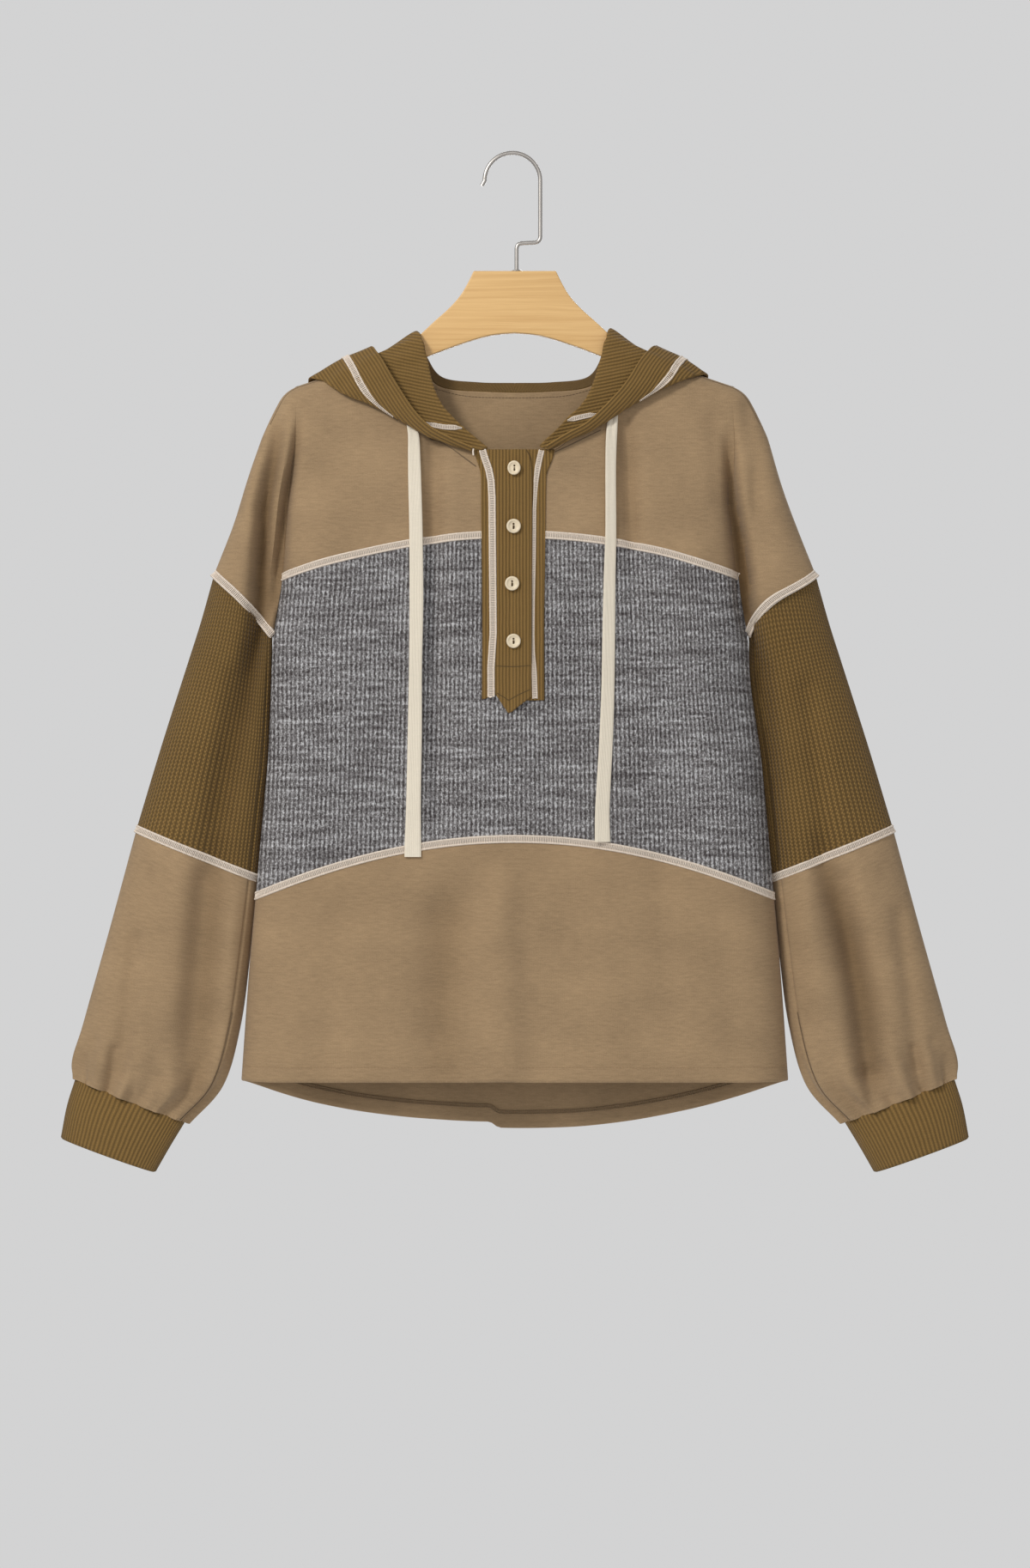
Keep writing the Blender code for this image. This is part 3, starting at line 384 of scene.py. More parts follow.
def stand(x, z, face, closing):
    """How far the cloth's outer face stands out from the hanger's plane."""
    a = np.abs(x)
    full = read(DEPTHS, z, face)
    half = read(BODY, z, "half")
    inward = np.clip(half - a, 0.0, None)
    body = full * quarter(inward / BODY_ROUND)
    edge = quarter(shoulder_distance(a, z) / read(DEPTHS, z, "edge"))
    closed = 1.0 - ease(closing[1], closing[0], z)
    chest = full * edge * (1.0 - closed + closed * quarter(inward / BODY_ROUND))
    across = quarter((a - half) / (0.5 * np.maximum(arm_edge(z) - half, 1.0)))
    arm = (full * (1.0 - closed) + ARM_DEPTH * closed * across) * edge
    return np.where(z <= UNDERARM.z, body, np.where(a <= half, chest, arm))


def front_face(x, z):
    out = stand(x, z, "front", FRONT_FOLD)
    soft = np.minimum(out / 12.0, 1.0)
    folds = crease(x, z, SOLID_CREASES) + crease(x, z, FRONT_CREASES) + long_folds(x, z) + ripple(x, z, 1.0)
    return np.stack([x, -np.maximum(out - folds * soft, SEAM / 2), z], axis=-1)


def back_face(x, z):
    out = stand(x, z, "back", BACK_FOLD)
    soft = np.minimum(out / 14.0, 1.0)
    folds = crease(x, z, BACK_CREASES) + ripple(x, z, 2.0)
    return np.stack([x, np.maximum(out - folds * soft, SEAM / 2), z], axis=-1)


def solid_front(x, z):
    """The front as the solids have it, which the hood and the strips are laid on."""
    out = stand(x, z, "front", FRONT_FOLD)
    folds = crease(x, z, SOLID_CREASES) * np.minimum(out / 12.0, 1.0)
    return np.stack([x, -np.maximum(out - folds, SEAM / 2), z], axis=-1)


def solid_back(x, z):
    return np.stack([x, np.maximum(stand(x, z, "back", BACK_FOLD), SEAM / 2), z], axis=-1)


def arch(curve, at):
    return curve[0] - curve[1] * at * at


def side_line(z):
    return read(BODY, z, "half")


# ---------------------------------------------------------------- cloth shells
DROP_SHOULDER = (174.0, 235.0)
SHOULDER_SPARE = 0.2


def under_shoulder(vertices):
    """Keeps a shell's corners from standing above the drop shoulder's line."""
    away = np.abs(vertices[:, 0])
    top = np.interp(away, SHOULDER_LINE[:, 0], SHOULDER_LINE[:, 1]) + SHOULDER_SPARE
    high = (away > DROP_SHOULDER[0]) & (away < DROP_SHOULDER[1]) & (vertices[:, 2] > top)
    vertices[high, 2] = top[high]
    return vertices


class Cloth:
    """A piece of cloth made of grids on its outer face, merged where they meet and thickened to a closed wall."""

    def __init__(self, wall=CLOTH, rim=0.3):
        self.wall = wall
        self.rim = rim
        self.points = []
        self.walls = []
        self.level = []
        self.faces = []
        self.corners = []
        self.count = 0

    def grid(self, points, uv, closed=False, flip=False, level=None, walls=None, skip=None):
        """Adds a grid of points, rows by columns. The uv grid of a closed one has a column more."""
        rows, columns = points.shape[:2]
        self.points.append(points.reshape(-1, 3))
        self.level.append(np.zeros(rows * columns, bool) if level is None else level.reshape(-1))
        self.walls.append(np.full(rows * columns, self.wall) if walls is None else walls.reshape(-1))
        reach = columns if closed else columns - 1
        for j in range(rows - 1):
            for i in range(reach):
                if skip is not None and skip[j, i]:
                    continue
                k = (i + 1) % columns
                face = [j * columns + i, (j + 1) * columns + i, (j + 1) * columns + k, j * columns + k]
                spots = [uv[j, i], uv[j + 1, i], uv[j + 1, i + 1], uv[j, i + 1]]
                if flip:
                    face, spots = face[::-1], spots[::-1]
                self.faces.append([self.count + n for n in face])
                self.corners.append(spots)
        self.count += rows * columns

    def merged(self):
        """One point for each place, and faces without repeated corners."""
        points = np.concatenate(self.points)
        keys, first, place = np.unique(np.round(points, 3), axis=0, return_index=True, return_inverse=True)
        place = place.reshape(-1)
        faces, corners = [], []
        for face, spots in zip(self.faces, self.corners):
            ids = [int(place[n]) for n in face]
            keep = [n for n in range(4) if ids[n] != ids[n - 1]]
            if len(keep) > 2:
                faces.append([ids[n] for n in keep])
                corners.append([spots[n] for n in keep])
        level = np.zeros(len(keys), bool)
        np.logical_or.at(level, place, np.concatenate(self.level))
        return points[first], np.concatenate(self.walls)[first], level, faces, corners

    def build(self, name, look, slot, centred=False, mirror=False):
        points, walls, level, faces, corners = self.merged()
        normals = np.zeros_like(points)
        for face in faces:
            p = points[face]
            normals[face] += np.cross(p[2] - p[0], p[-1] - p[1])
        normals[level, 1] = 0.0
        normals = unit(normals)
        half = 0.5 if centred else 0.0
        outer = points + normals * (walls * half)[:, None]
        inner = points - normals * (walls * (1.0 - half))[:, None]
        count = len(points)
        sides = {}
        for face, spots in zip(faces, corners):
            for n, a in enumerate(face):
                m = (n + 1) % len(face)
                sides[(a, face[m])] = (spots[n], spots[m])
        border = [pair for pair in sides if (pair[1], pair[0]) not in sides]
        away = np.zeros_like(points)
        for a, b in border:
            step = np.cross(points[b] - points[a], normals[a] + normals[b])
            step /= max(np.linalg.norm(step), 1e-9)
            away[a] += step
            away[b] += step
        rim_ids = {n: 2 * count + k for k, n in enumerate(sorted({a for pair in border for a in pair}))}
        order = sorted(rim_ids)
        away[order] = unit(away[order])
        rim = (outer[order] + inner[order]) / 2 + away[order] * (walls[order] * self.rim)[:, None]
        every = [list(face) for face in faces] + [[n + count for n in face[::-1]] for face in faces]
        spots_all = [spots for spots in corners] + [spots[::-1] for spots in corners]
        for a, b in border:
            at_a, at_b = sides[(a, b)]
            every.append([b, a, rim_ids[a], rim_ids[b]])
            spots_all.append([at_b, at_a, at_a, at_b])
            every.append([rim_ids[b], rim_ids[a], a + count, b + count])
            spots_all.append([at_b, at_a, at_a, at_b])
        vertices = np.concatenate([outer, inner, rim])
        return make_mesh(name, under_shoulder(vertices), every, look, slot, spots_all, mirror=mirror)


FOLD_FRONT = 3.0            # in front of this depth the cloth takes the long folds' painted shade


def add_object(name, data):
    made = bpy.data.objects.new(name, data)
    bpy.context.scene.collection.objects.link(made)
    return made


def evaluated_mesh(holder):
    return bpy.data.meshes.new_from_object(holder.evaluated_get(bpy.context.evaluated_depsgraph_get()))


def add_floats(mesh, name, values):
    mesh.attributes.new(name, "FLOAT", "POINT").data.foreach_set("value", np.array(values, np.float32))


def make_mesh(name, vertices, faces, look, slot, spots=None, mirror=False, sharp=50.0, place_x=GARMENT_X):
    """A mesh object at the origin, from points in millimetres about the garment's middle."""
    placed = np.array(vertices, float)
    if mirror:
        placed[:, 0] *= -1.0
        faces = [face[::-1] for face in faces]
        spots = spots and [s[::-1] for s in spots]
    # painted shade: how deep each front point lies in a long fold, kept as the mesh's fold mask that darkens its colour
    fold_shade_mask = np.clip(long_folds(placed[:, 0], placed[:, 2]) / FULL_FOLD, 0.0, 1.0) * (placed[:, 1] < FOLD_FRONT)
    placed = hang(placed)
    placed[:, 0] += place_x
    mesh = bpy.data.meshes.new(name)
    mesh.from_pydata((placed * MM).tolist(), [], faces)
    if fold_shade_mask.max() > 0.01:
        add_floats(mesh, "fold", fold_shade_mask)
    if spots:
        layer = mesh.uv_layers.new(name="UVMap")
        flat = np.array([spot for face in spots for spot in face], np.float32) * MM
        layer.data.foreach_set("uv", flat.reshape(-1))
    mesh.materials.append(look)
    mesh.shade_smooth()
    mesh.set_sharp_from_angle(angle=math.radians(sharp))
    made = add_object(name, mesh)
    made["look"] = slot
    return made


def finish_piece(piece, *nodes):
    """Rides on the body and stands for its solids."""
    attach(piece, BODY_NAME)
    if nodes:
        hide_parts(*nodes)


Cut = namedtuple("Cut", "width length area")


# ---------------------------------------------------------------- body panels
SPACING = 3.0


def towards_edge(lo, hi, spacing, first=0.12):
    """Values from lo to hi, closer and closer together towards hi."""
    values, gap = [hi], first
    while values[-1] - gap > lo + 0.4 * spacing:
        values.append(values[-1] - gap)
        gap = min(gap * 1.5, spacing)
    values.append(lo)
    return np.array(values[::-1])


def drops(depth, count):
    """Distances below a panel's top edge, close together over the rounded shoulder."""
    near = np.array([0.0, 0.12, 0.4, 0.9, 1.7, 2.8, 4.4, 6.6])
    rest = 6.6 + (depth - 6.6)[..., None] * (np.arange(1, count + 1) / count)
    return np.concatenate([np.broadcast_to(near, rest.shape[:-1] + near.shape), rest], axis=-1)


def arm_block(cloth, face, inner, sign, across=26):
    """The drop shoulder's upper arm, from the body's fold to the armhole seam."""
    inner = np.array(inner)
    line = [(FOLD_X, float(read(SHOULDER, FOLD_X, "z")))] + [(p.x, p.z) for p in SHOULDER if p.x > FOLD_X]
    outer = even(smooth_path(line, 12), 400)
    slant = np.array([ARMHOLE.x - UNDERARM.x, ARMHOLE.z - UNDERARM.z])
    slant /= np.linalg.norm(slant)
    down = np.array([slant[1], -slant[0]])
    outer[-1] -= down * (SEAM / 2)
    down_share = (inner[0, 2] - inner[:, 2]) / (inner[0, 2] - inner[-1, 2])
    ends = outer[np.clip((down_share * (len(outer) - 1)).round().astype(int), 0, len(outer) - 1)]
    t = np.sin(math.pi / 2 * np.linspace(0.0, 1.0, across + 1)) ** 1.3
    start = np.stack([np.abs(inner[:, 0]), inner[:, 2]], axis=1)
    flat = start[:, None] + (ends - start)[:, None] * t[None, :, None]
    grid = face(sign * flat[..., 0], flat[..., 1])
    grid[:, 0] = inner
    grid[:, -1, 1] = np.copysign(SEAM / 2, grid[0, -1, 1])
    level = np.zeros(grid.shape[:2], bool)
    level[:, -1] = True
    uv = np.stack([grid[..., 0], grid[..., 2]], axis=-1)
    if sign < 0:
        grid, uv, level = grid[:, ::-1], uv[:, ::-1], level[:, ::-1]
    cloth.grid(grid, uv, level=level, flip=face is back_face)


def below_fold(column, face, sign):
    """The inner edge of the arm block: the panel's side column, carried down to the underarm."""
    end = UNDERARM.z + SEAM / 2
    start = column[-1, 2]
    z = np.linspace(start, end, max(int((start - end) / SPACING), 2) + 1)[1:]
    return np.concatenate([column, face(sign * (side_line(z) + SEAM), z)])


def front_yoke(name, sign, node):
    cloth = Cloth()
    near_neck = np.concatenate([np.linspace(SLIT, 70.0, 26), towards_edge(70.0, NECK_FRONT[-1].x, 1.6, 0.1)[1:]])
    over = NECK_FRONT[-1].x + np.cumsum([0.1, 0.3, 0.8, 1.4])
    at = np.concatenate([near_neck, over, towards_edge(over[-1] + 1.5, FOLD_X, SPACING)])
    on_line = at >= NECK_FRONT[-1].x - 1e-6
    top = np.where(on_line, read(SHOULDER, at, "z"), read(NECK_FRONT, at, "z"))
    bottom = arch(ARCH_UPPER, at / FOLD_X) + SEAM / 2
    z = (top[:, None] - drops(top - bottom, 52)).T
    x = sign * (at / FOLD_X)[None] * side_line(z)
    grid = front_face(x, z)
    level = np.zeros(z.shape, bool)
    level[0, on_line] = True
    grid[0, on_line] = np.stack([sign * at[on_line], np.full(on_line.sum(), -SEAM / 2), z[0, on_line]], axis=-1)
    uv = np.stack([x, z], axis=-1)
    if sign < 0:
        cloth.grid(grid[:, ::-1], uv[:, ::-1], level=level[:, ::-1])
    else:
        cloth.grid(grid, uv, level=level)
    arm_block(cloth, front_face, below_fold(grid[:, -1], front_face, sign), sign)
    piece = cloth.build(name, jersey(), "taupe_jersey")
    finish_piece(piece, node)
    return piece


def band_shares():
    side = towards_edge(0.0, 1.0, SPACING / 200.0, 0.0003)
    return np.concatenate([-side[::-1], side[1:]])


def front_band(cloth, shares, top, bottom, rows, slit=False):
    v = rows[:, None]
    z = top(shares)[None] * (1.0 - v) + bottom(shares)[None] * v
    half = side_line(z)
    x = shares[None] * half
    grid = front_face(x, z)
    side = np.abs(shares) > 0.9999
    level = np.zeros(z.shape, bool)
    level[:, side] = True
    grid[:, side, 1] = -SEAM / 2
    walls = np.where(z < FRONT_HEM + HEM_BAND - 0.5, HEM_CLOTH, CLOTH)
    skip = None
    if slit:
        middle = (x[:-1, :-1] + x[:-1, 1:]) / 2
        skip = (np.abs(middle) < SLIT) & (z[1:, 1:] > SLIT_FOOT)
    straight = x * (0.5 + 0.5 * 200.0 / half)
    cloth.grid(grid, np.stack([straight, z], axis=-1), level=level, walls=walls, skip=skip)


def front_middle():
    cloth = Cloth()
    shares = band_shares()
    slit = SLIT / float(side_line(ARCH_UPPER[0]))
    shares = np.unique(np.concatenate([shares[np.abs(shares) > slit * 1.4], [-slit, 0.0, slit]]))
    front_band(cloth, shares, lambda s: arch(ARCH_UPPER, s) - SEAM / 2, lambda s: arch(ARCH_LOWER, s) + SEAM / 2,
               np.linspace(0.0, 1.0, 88), slit=True)
    piece = cloth.build("front_panel_marl", marl(), "grey_marl_rib")
    finish_piece(piece, "front_middle")


def front_lower():
    cloth = Cloth(rim=0.45)
    rows = np.concatenate([np.linspace(0.0, 0.936, 62), [0.941, 0.9445, 0.948], np.linspace(0.96, 1.0, 5)])
    front_band(cloth, band_shares(), lambda s: arch(ARCH_LOWER, s) - SEAM / 2, lambda s: np.full_like(s, FRONT_HEM),
               rows)
    piece = cloth.build("front_panel_lower", jersey(), "taupe_jersey")
    finish_piece(piece, "front_lower")


def back_hem(at):
    """The back's lower edge, with the small step of a fold near its middle."""
    rise = BACK_HEM[0] + BACK_HEM[1] * np.abs(at) ** BACK_HEM_POWER
    x = at * 230.0
    return rise + 5.0 * (1.0 - ease(-22.0, -12.0, x)) * ease(-190.0, -60.0, x)


def back_panel():
    cloth = Cloth(rim=0.45)
    neck = NECK_BACK[-1].x
    side = np.concatenate([
        np.linspace(0.0, 66.0, 23), towards_edge(66.0, neck, 1.8, 0.1)[1:],
        neck + np.cumsum([0.1, 0.3, 0.8, 1.4]), towards_edge(neck + 4.5, FOLD_X, 3.4),
    ])
    at = np.concatenate([-side[:0:-1], side])
    shares = at / FOLD_X
    away = np.abs(at)
    on_line = away >= neck - 1e-6
    top = np.where(on_line, read(SHOULDER, away, "z"), read(NECK_BACK, away, "z"))
    upper = (top[:, None] - drops(top - UNDERARM.z, 60)).T
    hem = back_hem(shares)
    v = np.concatenate([np.linspace(0.0, 0.966, 110)[1:], [0.9705, 0.974, 0.979, 0.99, 1.0]])
    lower = UNDERARM.z + (hem - UNDERARM.z)[None] * v[:, None]
    z = np.concatenate([upper, lower])
    x = shares[None] * side_line(z)
    grid = back_face(x, z)
    level = np.zeros(z.shape, bool)
    level[0, on_line] = True
    grid[0, on_line] = np.stack([at[on_line], np.full(on_line.sum(), SEAM / 2), z[0, on_line]], axis=-1)
    side_columns = np.abs(shares) > 0.9999
    below = z[:, 0] <= UNDERARM.z + 1e-6
    for column in np.nonzero(side_columns)[0]:
        grid[below, column, 1] = SEAM / 2
        level[below, column] = True
    walls = np.where(z < (hem + HEM_BAND - 0.5)[None], (HEM_CLOTH + 2.0 * CLOTH) / 3.0, CLOTH)
    uv = np.stack([x, z], axis=-1)
    cloth.grid(grid, uv, level=level, walls=walls, flip=True)
    count = upper.shape[0]
    arm_block(cloth, back_face, grid[:count, -1], 1)
    arm_block(cloth, back_face, grid[:count, 0], -1)
    piece = cloth.build("back_panel", jersey(), "taupe_jersey")
    finish_piece(piece, "back")


# ---------------------------------------------------------------- sleeves and cuffs
Section = namedtuple("Section", "outer_x outer_z inner_x inner_z depth back")
NumberedSection = namedtuple("NumberedSection", ("at",) + Section._fields)
SLEEVE_UPPER = rows_of(Section,
    (252.9, -352.4, 200.5, -404.3, 20, 0.5), (264.5, -392, 201.3, -446, 22, 7), (276, -428, 204.9, -488, 23.5, 8),
    (298, -497, 210.9, -550, 25, 8), (319, -566.8, 216.4, -608.8, 26, 8),
)
SLEEVE_LOWER = rows_of(Section,
    (319, -567.2, 216.4, -609.2, 26, 8), (341, -649, 222.6, -670, 28, 7), (361, -721, 231, -733, 28, 4),
    (371.5, -757, 247, -782, 25, 2), (371, -776.8, 277, -813.8, 15, 0),
)
CUFF = rows_of(Section,
    (370, -777.4, 278, -814.2, 13, 0), (377, -800, 290, -834, 14, 0), (382, -826, 302, -855, 12.5, 0),
)
GATHERS = 11
GATHER_SIZE = 0.053
GATHER_STAND = 3.5
GATHER_START = 0.45
UNEVEN = np.array((0.0, 0.22, -0.15, 0.3, -0.24, 0.08, -0.3, 0.17))
PUCKERS = 29                # the short ones that show at the cuff seam alone
PUCKER_DEPTH = 1.5
UNDERARM_TURN = 0.5         # where the underarm seam runs, from the sleeve's inner edge


def section_at(table, at):
    numbered = [NumberedSection(i, *row) for i, row in enumerate(table)]
    place = at * (len(table) - 1)
    return Section(*(float(read(numbered, place, column)) for column in Section._fields))


def gathers(turn, at):
    """The waves that a full sleeve makes where it is drawn into its cuff."""
    fade = ease(GATHER_START, 1.0, at)
    lane = turn / (2.0 * math.pi) * GATHERS
    near = UNEVEN[lane.astype(int) % len(UNEVEN)]
    swing = near * np.sin(math.pi * (lane % 1.0))
    return GATHER_SIZE * fade * (1.0 + swing) * np.cos(2.0 * math.pi * lane + swing)


def puckers(turn, at):
    lane = turn / (2.0 * math.pi) * PUCKERS
    near = UNEVEN[(lane.astype(int) * 3) % len(UNEVEN)]
    reach = 0.80 + 0.12 * near / 0.3
    fade = np.clip((at - reach) / (1.0 - reach), 0.0, 1.0) ** 1.5
    return PUCKER_DEPTH * fade * (0.6 + near) * np.cos(2.0 * math.pi * lane + 2.0 * near)


def ring(section, sign, turn, at, waves, small, groove=0.0):
    """Points round a sleeve's section, from its inner edge over the front to its outer edge and back."""
    outer = np.array([section.outer_x, 0.0, section.outer_z])
    inner = np.array([section.inner_x, 0.0, section.inner_z])
    middle, half = (outer + inner) / 2, (outer - inner) / 2
    wave = waves(turn, at)
    across = -np.cos(turn) * (1.0 + wave)
    deep = -np.sin(turn) * section.depth * (1.0 + GATHER_STAND * wave)
    points = middle[None] + half[None] * across[:, None]
    x, z = sign * points[:, 0], points[:, 2]
    hand = np.sin(turn)
    front = crease(x, z, SOLID_CREASES) + crease(x, z, SLEEVE_CREASES) + long_folds(x, z)
    deep += np.where(deep < 0.0, np.minimum(front * np.minimum(-deep / 12.0, 1.0), -deep), 0.0)
    deep += np.where(deep > 0.0, crease(x, z, SLEEVE_BACK_CREASES) * np.abs(hand) * -1.0, 0.0)
    deep += ripple(x, z, 3.0) * hand
    points[:, 1] = deep + section.back
    points[:, 0] = x
    out = np.stack([-np.cos(turn) * half[0] / 60.0, -np.sin(turn), -np.cos(turn) * half[2] / 60.0], axis=1)
    out[:, 0] *= sign
    out /= np.linalg.norm(out, axis=1)[:, None]
    seam = np.exp(-((turn - UNDERARM_TURN) / 0.035) ** 2) * groove
    return points + out * (small(turn, at) - seam)[:, None]


def no_waves(turn, at):
    return np.zeros_like(turn)


def turns(count, extra=()):
    base = np.arange(count) * 2.0 * math.pi / count
    near = [UNDERARM_TURN + step for step in extra]
    kept = [t for t in base if all(abs(t - n) > 0.02 for n in near)]
    return np.array(sorted(kept + near))


def tube(cloth, table, sign, down, turn, waves=no_waves, small=no_waves, groove=0.0):
    at = np.linspace(0.0, 1.0, down + 1)
    sections = [section_at(table, a) for a in at]
    grid = np.stack([ring(s, sign, turn, a, waves, small, groove) for s, a in zip(sections, at)])
    middle = section_at(table, 0.5)
    girth = 2.0 * math.hypot(middle.outer_x - middle.inner_x, middle.outer_z - middle.inner_z) + 1.2 * middle.depth
    v = -run_along(grid.mean(axis=1))
    u = np.concatenate([turn, [2.0 * math.pi + turn[0]]]) / (2.0 * math.pi) * girth
    uv = np.stack(np.broadcast_arrays(u[None], v[:, None]), axis=-1)
    cloth.grid(grid, uv, closed=True, flip=sign < 0)


SEAM_STEPS = (-0.07, -0.045, -0.025, -0.012, 0.0, 0.012, 0.025, 0.045, 0.07)     # finer rows at the underarm
UNDERARM_GROOVE = 1.1
SIDES = (("left", -1), ("right", 1))


def make_sleeves():
    for side, sign in SIDES:
        for part, look, slot, holder, table, down, around, waves, small in (
            ("upper", waffle, "olive_rib", [f"front_yoke_{side}", "back"], SLEEVE_UPPER, 64, 84, no_waves, no_waves),
            ("lower", jersey, "taupe_jersey", [f"sleeve_upper_{side}"], SLEEVE_LOWER, 84, 232, gathers, puckers),
        ):
            cloth = Cloth()
            tube(cloth, table, sign, down, turns(around, SEAM_STEPS), waves, small, UNDERARM_GROOVE)
            piece = cloth.build(f"sleeve_{look.__name__}_{side}", look(), slot)
            finish_piece(piece, f"sleeve_{part}_{side}")


def make_cuffs():
    for side, sign in SIDES:
        cloth = Cloth(wall=HEM_CLOTH, rim=0.5)
        tube(cloth, CUFF, sign, 24, turns(110))
        piece = cloth.build(f"cuff_rib_{side}", fine_rib(), "olive_rib")
        finish_piece(piece, f"cuff_{side}")


# ---------------------------------------------------------------- hood
Hood = namedtuple("Hood", "neck roll fold edge turn")
HOOD_FRONTS = {             # from the placket up over the shoulder; the two sides don't lie alike
    "left": rows_of(Hood,
        ((30, -16.6, -249.4), (23.5, -19.5, -248), (36.5, -23.5, -250.4), (35.5, -26, -248), -90),
        ((44, -16.2, -240), (41, -19.5, -233.2), (55, -23, -244.6), (53.5, -27, -240.2), -90),
        ((56, -15.2, -229.5), (53, -19, -222), (73.5, -22, -237.6), (70, -27, -231.2), -90),
        ((66, -14, -214.5), (62.5, -18, -210.5), (92.5, -21, -226.5), (84.5, -27, -217), -90),
        ((74, -12, -195), (69.5, -16.5, -195), (118, -20, -212.6), (99.5, -26, -194.5), -85),
        ((78.5, -9, -173), (75.2, -13.5, -173), (143, -18.5, -202), (111, -23, -175), -70),
        ((81, -8.6, -157.5), (79.8, -12.5, -157.5), (159, -12, -192), (117, -15.5, -166), -45),
        ((83.6, 0, -152.5), (84.6, 0, -149.4), (171.5, -1, -187.5), (120.5, -1, -161.8), 0),
        ((82.6, 10, -157), (81, 13, -157.5), (173, 12, -195), (119, 17, -171), 45),
        ((78, 11.5, -173), (76.5, 15.5, -170), (171, 19.5, -213), (114, 27, -192), 70),
    ),
    "right": rows_of(Hood,
        ((29, -16.6, -249.4), (21.5, -19.5, -246.6), (27.5, -23.5, -249.2), (26.5, -26, -246.6), -90),
        ((42, -16.2, -242), (34, -19.5, -234.2), (47.5, -23, -240.4), (45, -27, -235.6), -90),
        ((55, -15.2, -230.5), (45.5, -19, -222.4), (67.5, -22, -231.4), (61, -27, -226.8), -90),
        ((66, -14, -214.5), (57, -18, -211), (92.5, -21, -215.4), (80, -27, -209), -90),
        ((71, -12, -196), (65.5, -16.5, -196.5), (116, -20, -201.6), (93.5, -26, -193.4), -85),
        ((77, -9, -173), (73, -13.5, -174.5), (140, -18.5, -190.6), (105.5, -23, -174.5), -70),
        ((80.6, -8.6, -156.5), (77.8, -12.5, -157), (152, -12, -186.5), (113, -15.5, -165.5), -45),
        ((82.5, 0, -150.5), (81.8, 0, -147), (160.5, -1, -184.2), (119, -1, -161.2), 0),
        ((80.8, 10, -156.5), (79, 13, -156.5), (163, 12, -191), (118, 17, -170), 45),
        ((77, 11.5, -173), (75.5, 15.5, -170), (164, 19.5, -212), (113, 27, -192), 70),
    ),
}
HOOD_BACK = rows_of(Hood,
    ((64, 12.5, -193), (63, 18, -187.6), (148, 27, -290), (88, 34, -236), 90),
    ((32, 12.6, -197.6), (32, 19, -193.4), (84, 31, -362), (48, 40, -276), 90),
    ((0.2, 12.5, -198.5), (0.2, 19, -194.6), (0.2, 33, -390), (0.2, 42, -290), 90),
)
HOOD_REST = 2.9
UNDER_POINTS = ((0.32, 2.4), (0.8, HOOD_REST))
CASING_STAND = 2.0
HOOD_ALONG = 16             # pieces between two sections
HOOD_ACROSS = 12            # pieces between two points of a section
FOLD_LANE = 4               # the point of a section where it folds
RIB_SLANT = 12.0            # degrees: how the standing part's ribs rise outwards


def hood_points(row):
    neck, roll, fold, edge = (np.array(p, float) for p in row[:4])
    turn = math.radians(row.turn)
    out = np.array([0.0, math.sin(turn), math.cos(turn)])
    under = []
    for at_share, rest in UNDER_POINTS:
        at = roll + (fold - roll) * at_share
        if abs(row.turn) > 45:
            if row.turn > 0:
                at[1] = solid_back(at[0], at[2])[1] + HOOD_REST
            else:
                at[1] = solid_front(at[0], at[2])[1] - rest
        else:
            top = float(read(SHOULDER, at[0], "z"))
            size = float(read(DEPTHS, top, "edge"))
            at = np.array([at[0], size * math.sin(turn), top - size * (1.0 - math.cos(turn))]) + out * HOOD_REST
        under.append(at)
    puffed = CASING_STAND * min(np.linalg.norm(fold - edge) / 20.0, 1.0)
    return [neck, roll, *under, fold, (fold + edge) / 2 + out * puffed, edge]


def hood_grid(side):
    sections = np.array([hood_points(row) for row in HOOD_FRONTS[side] + HOOD_BACK])
    along = smooth_path(sections, HOOD_ALONG)
    return np.swapaxes(smooth_path(np.swapaxes(along, 0, 1), HOOD_ACROSS), 0, 1)


def hood_wrinkles(grid):
    """Small crosswise creases where the hood bends over the shoulder, fading towards its ends."""
    rows, columns = grid.shape[:2]
    j = np.arange(rows)[:, None] / HOOD_ALONG
    i = np.arange(columns)[None] / HOOD_ACROSS
    bend = np.exp(-((j - 6.5) / 2.2) ** 2)
    wave = np.sin(7.3 * j + 1.1 * np.sin(2.0 * i)) * np.sin(2.3 * i + 0.8)
    return bend * 0.55 * wave


def make_hood():
    for side, sign in SIDES:
        grid = hood_grid(side)
        normal = unit(np.cross(np.gradient(grid, axis=0), np.gradient(grid, axis=1)))
        grid = grid + normal * hood_wrinkles(grid)[..., None]
        fold = FOLD_LANE * HOOD_ACROSS
        over = 7 * HOOD_ALONG
        steps = np.linalg.norm(np.diff(grid, axis=1), axis=2)
        across = np.concatenate([np.zeros((len(grid), 1)), np.cumsum(steps, axis=1)], axis=1)
        run = run_along(grid[:, fold - 6])
        slant = math.radians(RIB_SLANT)
        height = grid[..., 2] * math.cos(slant) - grid[..., 0] * math.sin(slant)
        height[over:] = height[over] - (run[over:] - run[over])[:, None]
        standing = np.stack([height, across], axis=-1)
        casing = np.stack(np.broadcast_arrays(across - across[:, -1:], run[:, None]), axis=-1)
        cloth = Cloth(wall=HOOD_CLOTH, rim=0.4)
        cloth.grid(grid[:, :fold + 1], standing[:, :fold + 1])
        cloth.grid(grid[:, fold:], casing[:, fold:])
        piece = cloth.build(f"hood_half_{side}", fine_rib(), "olive_rib", centred=True, mirror=sign < 0)
        finish_piece(piece, f"hood_{side}")


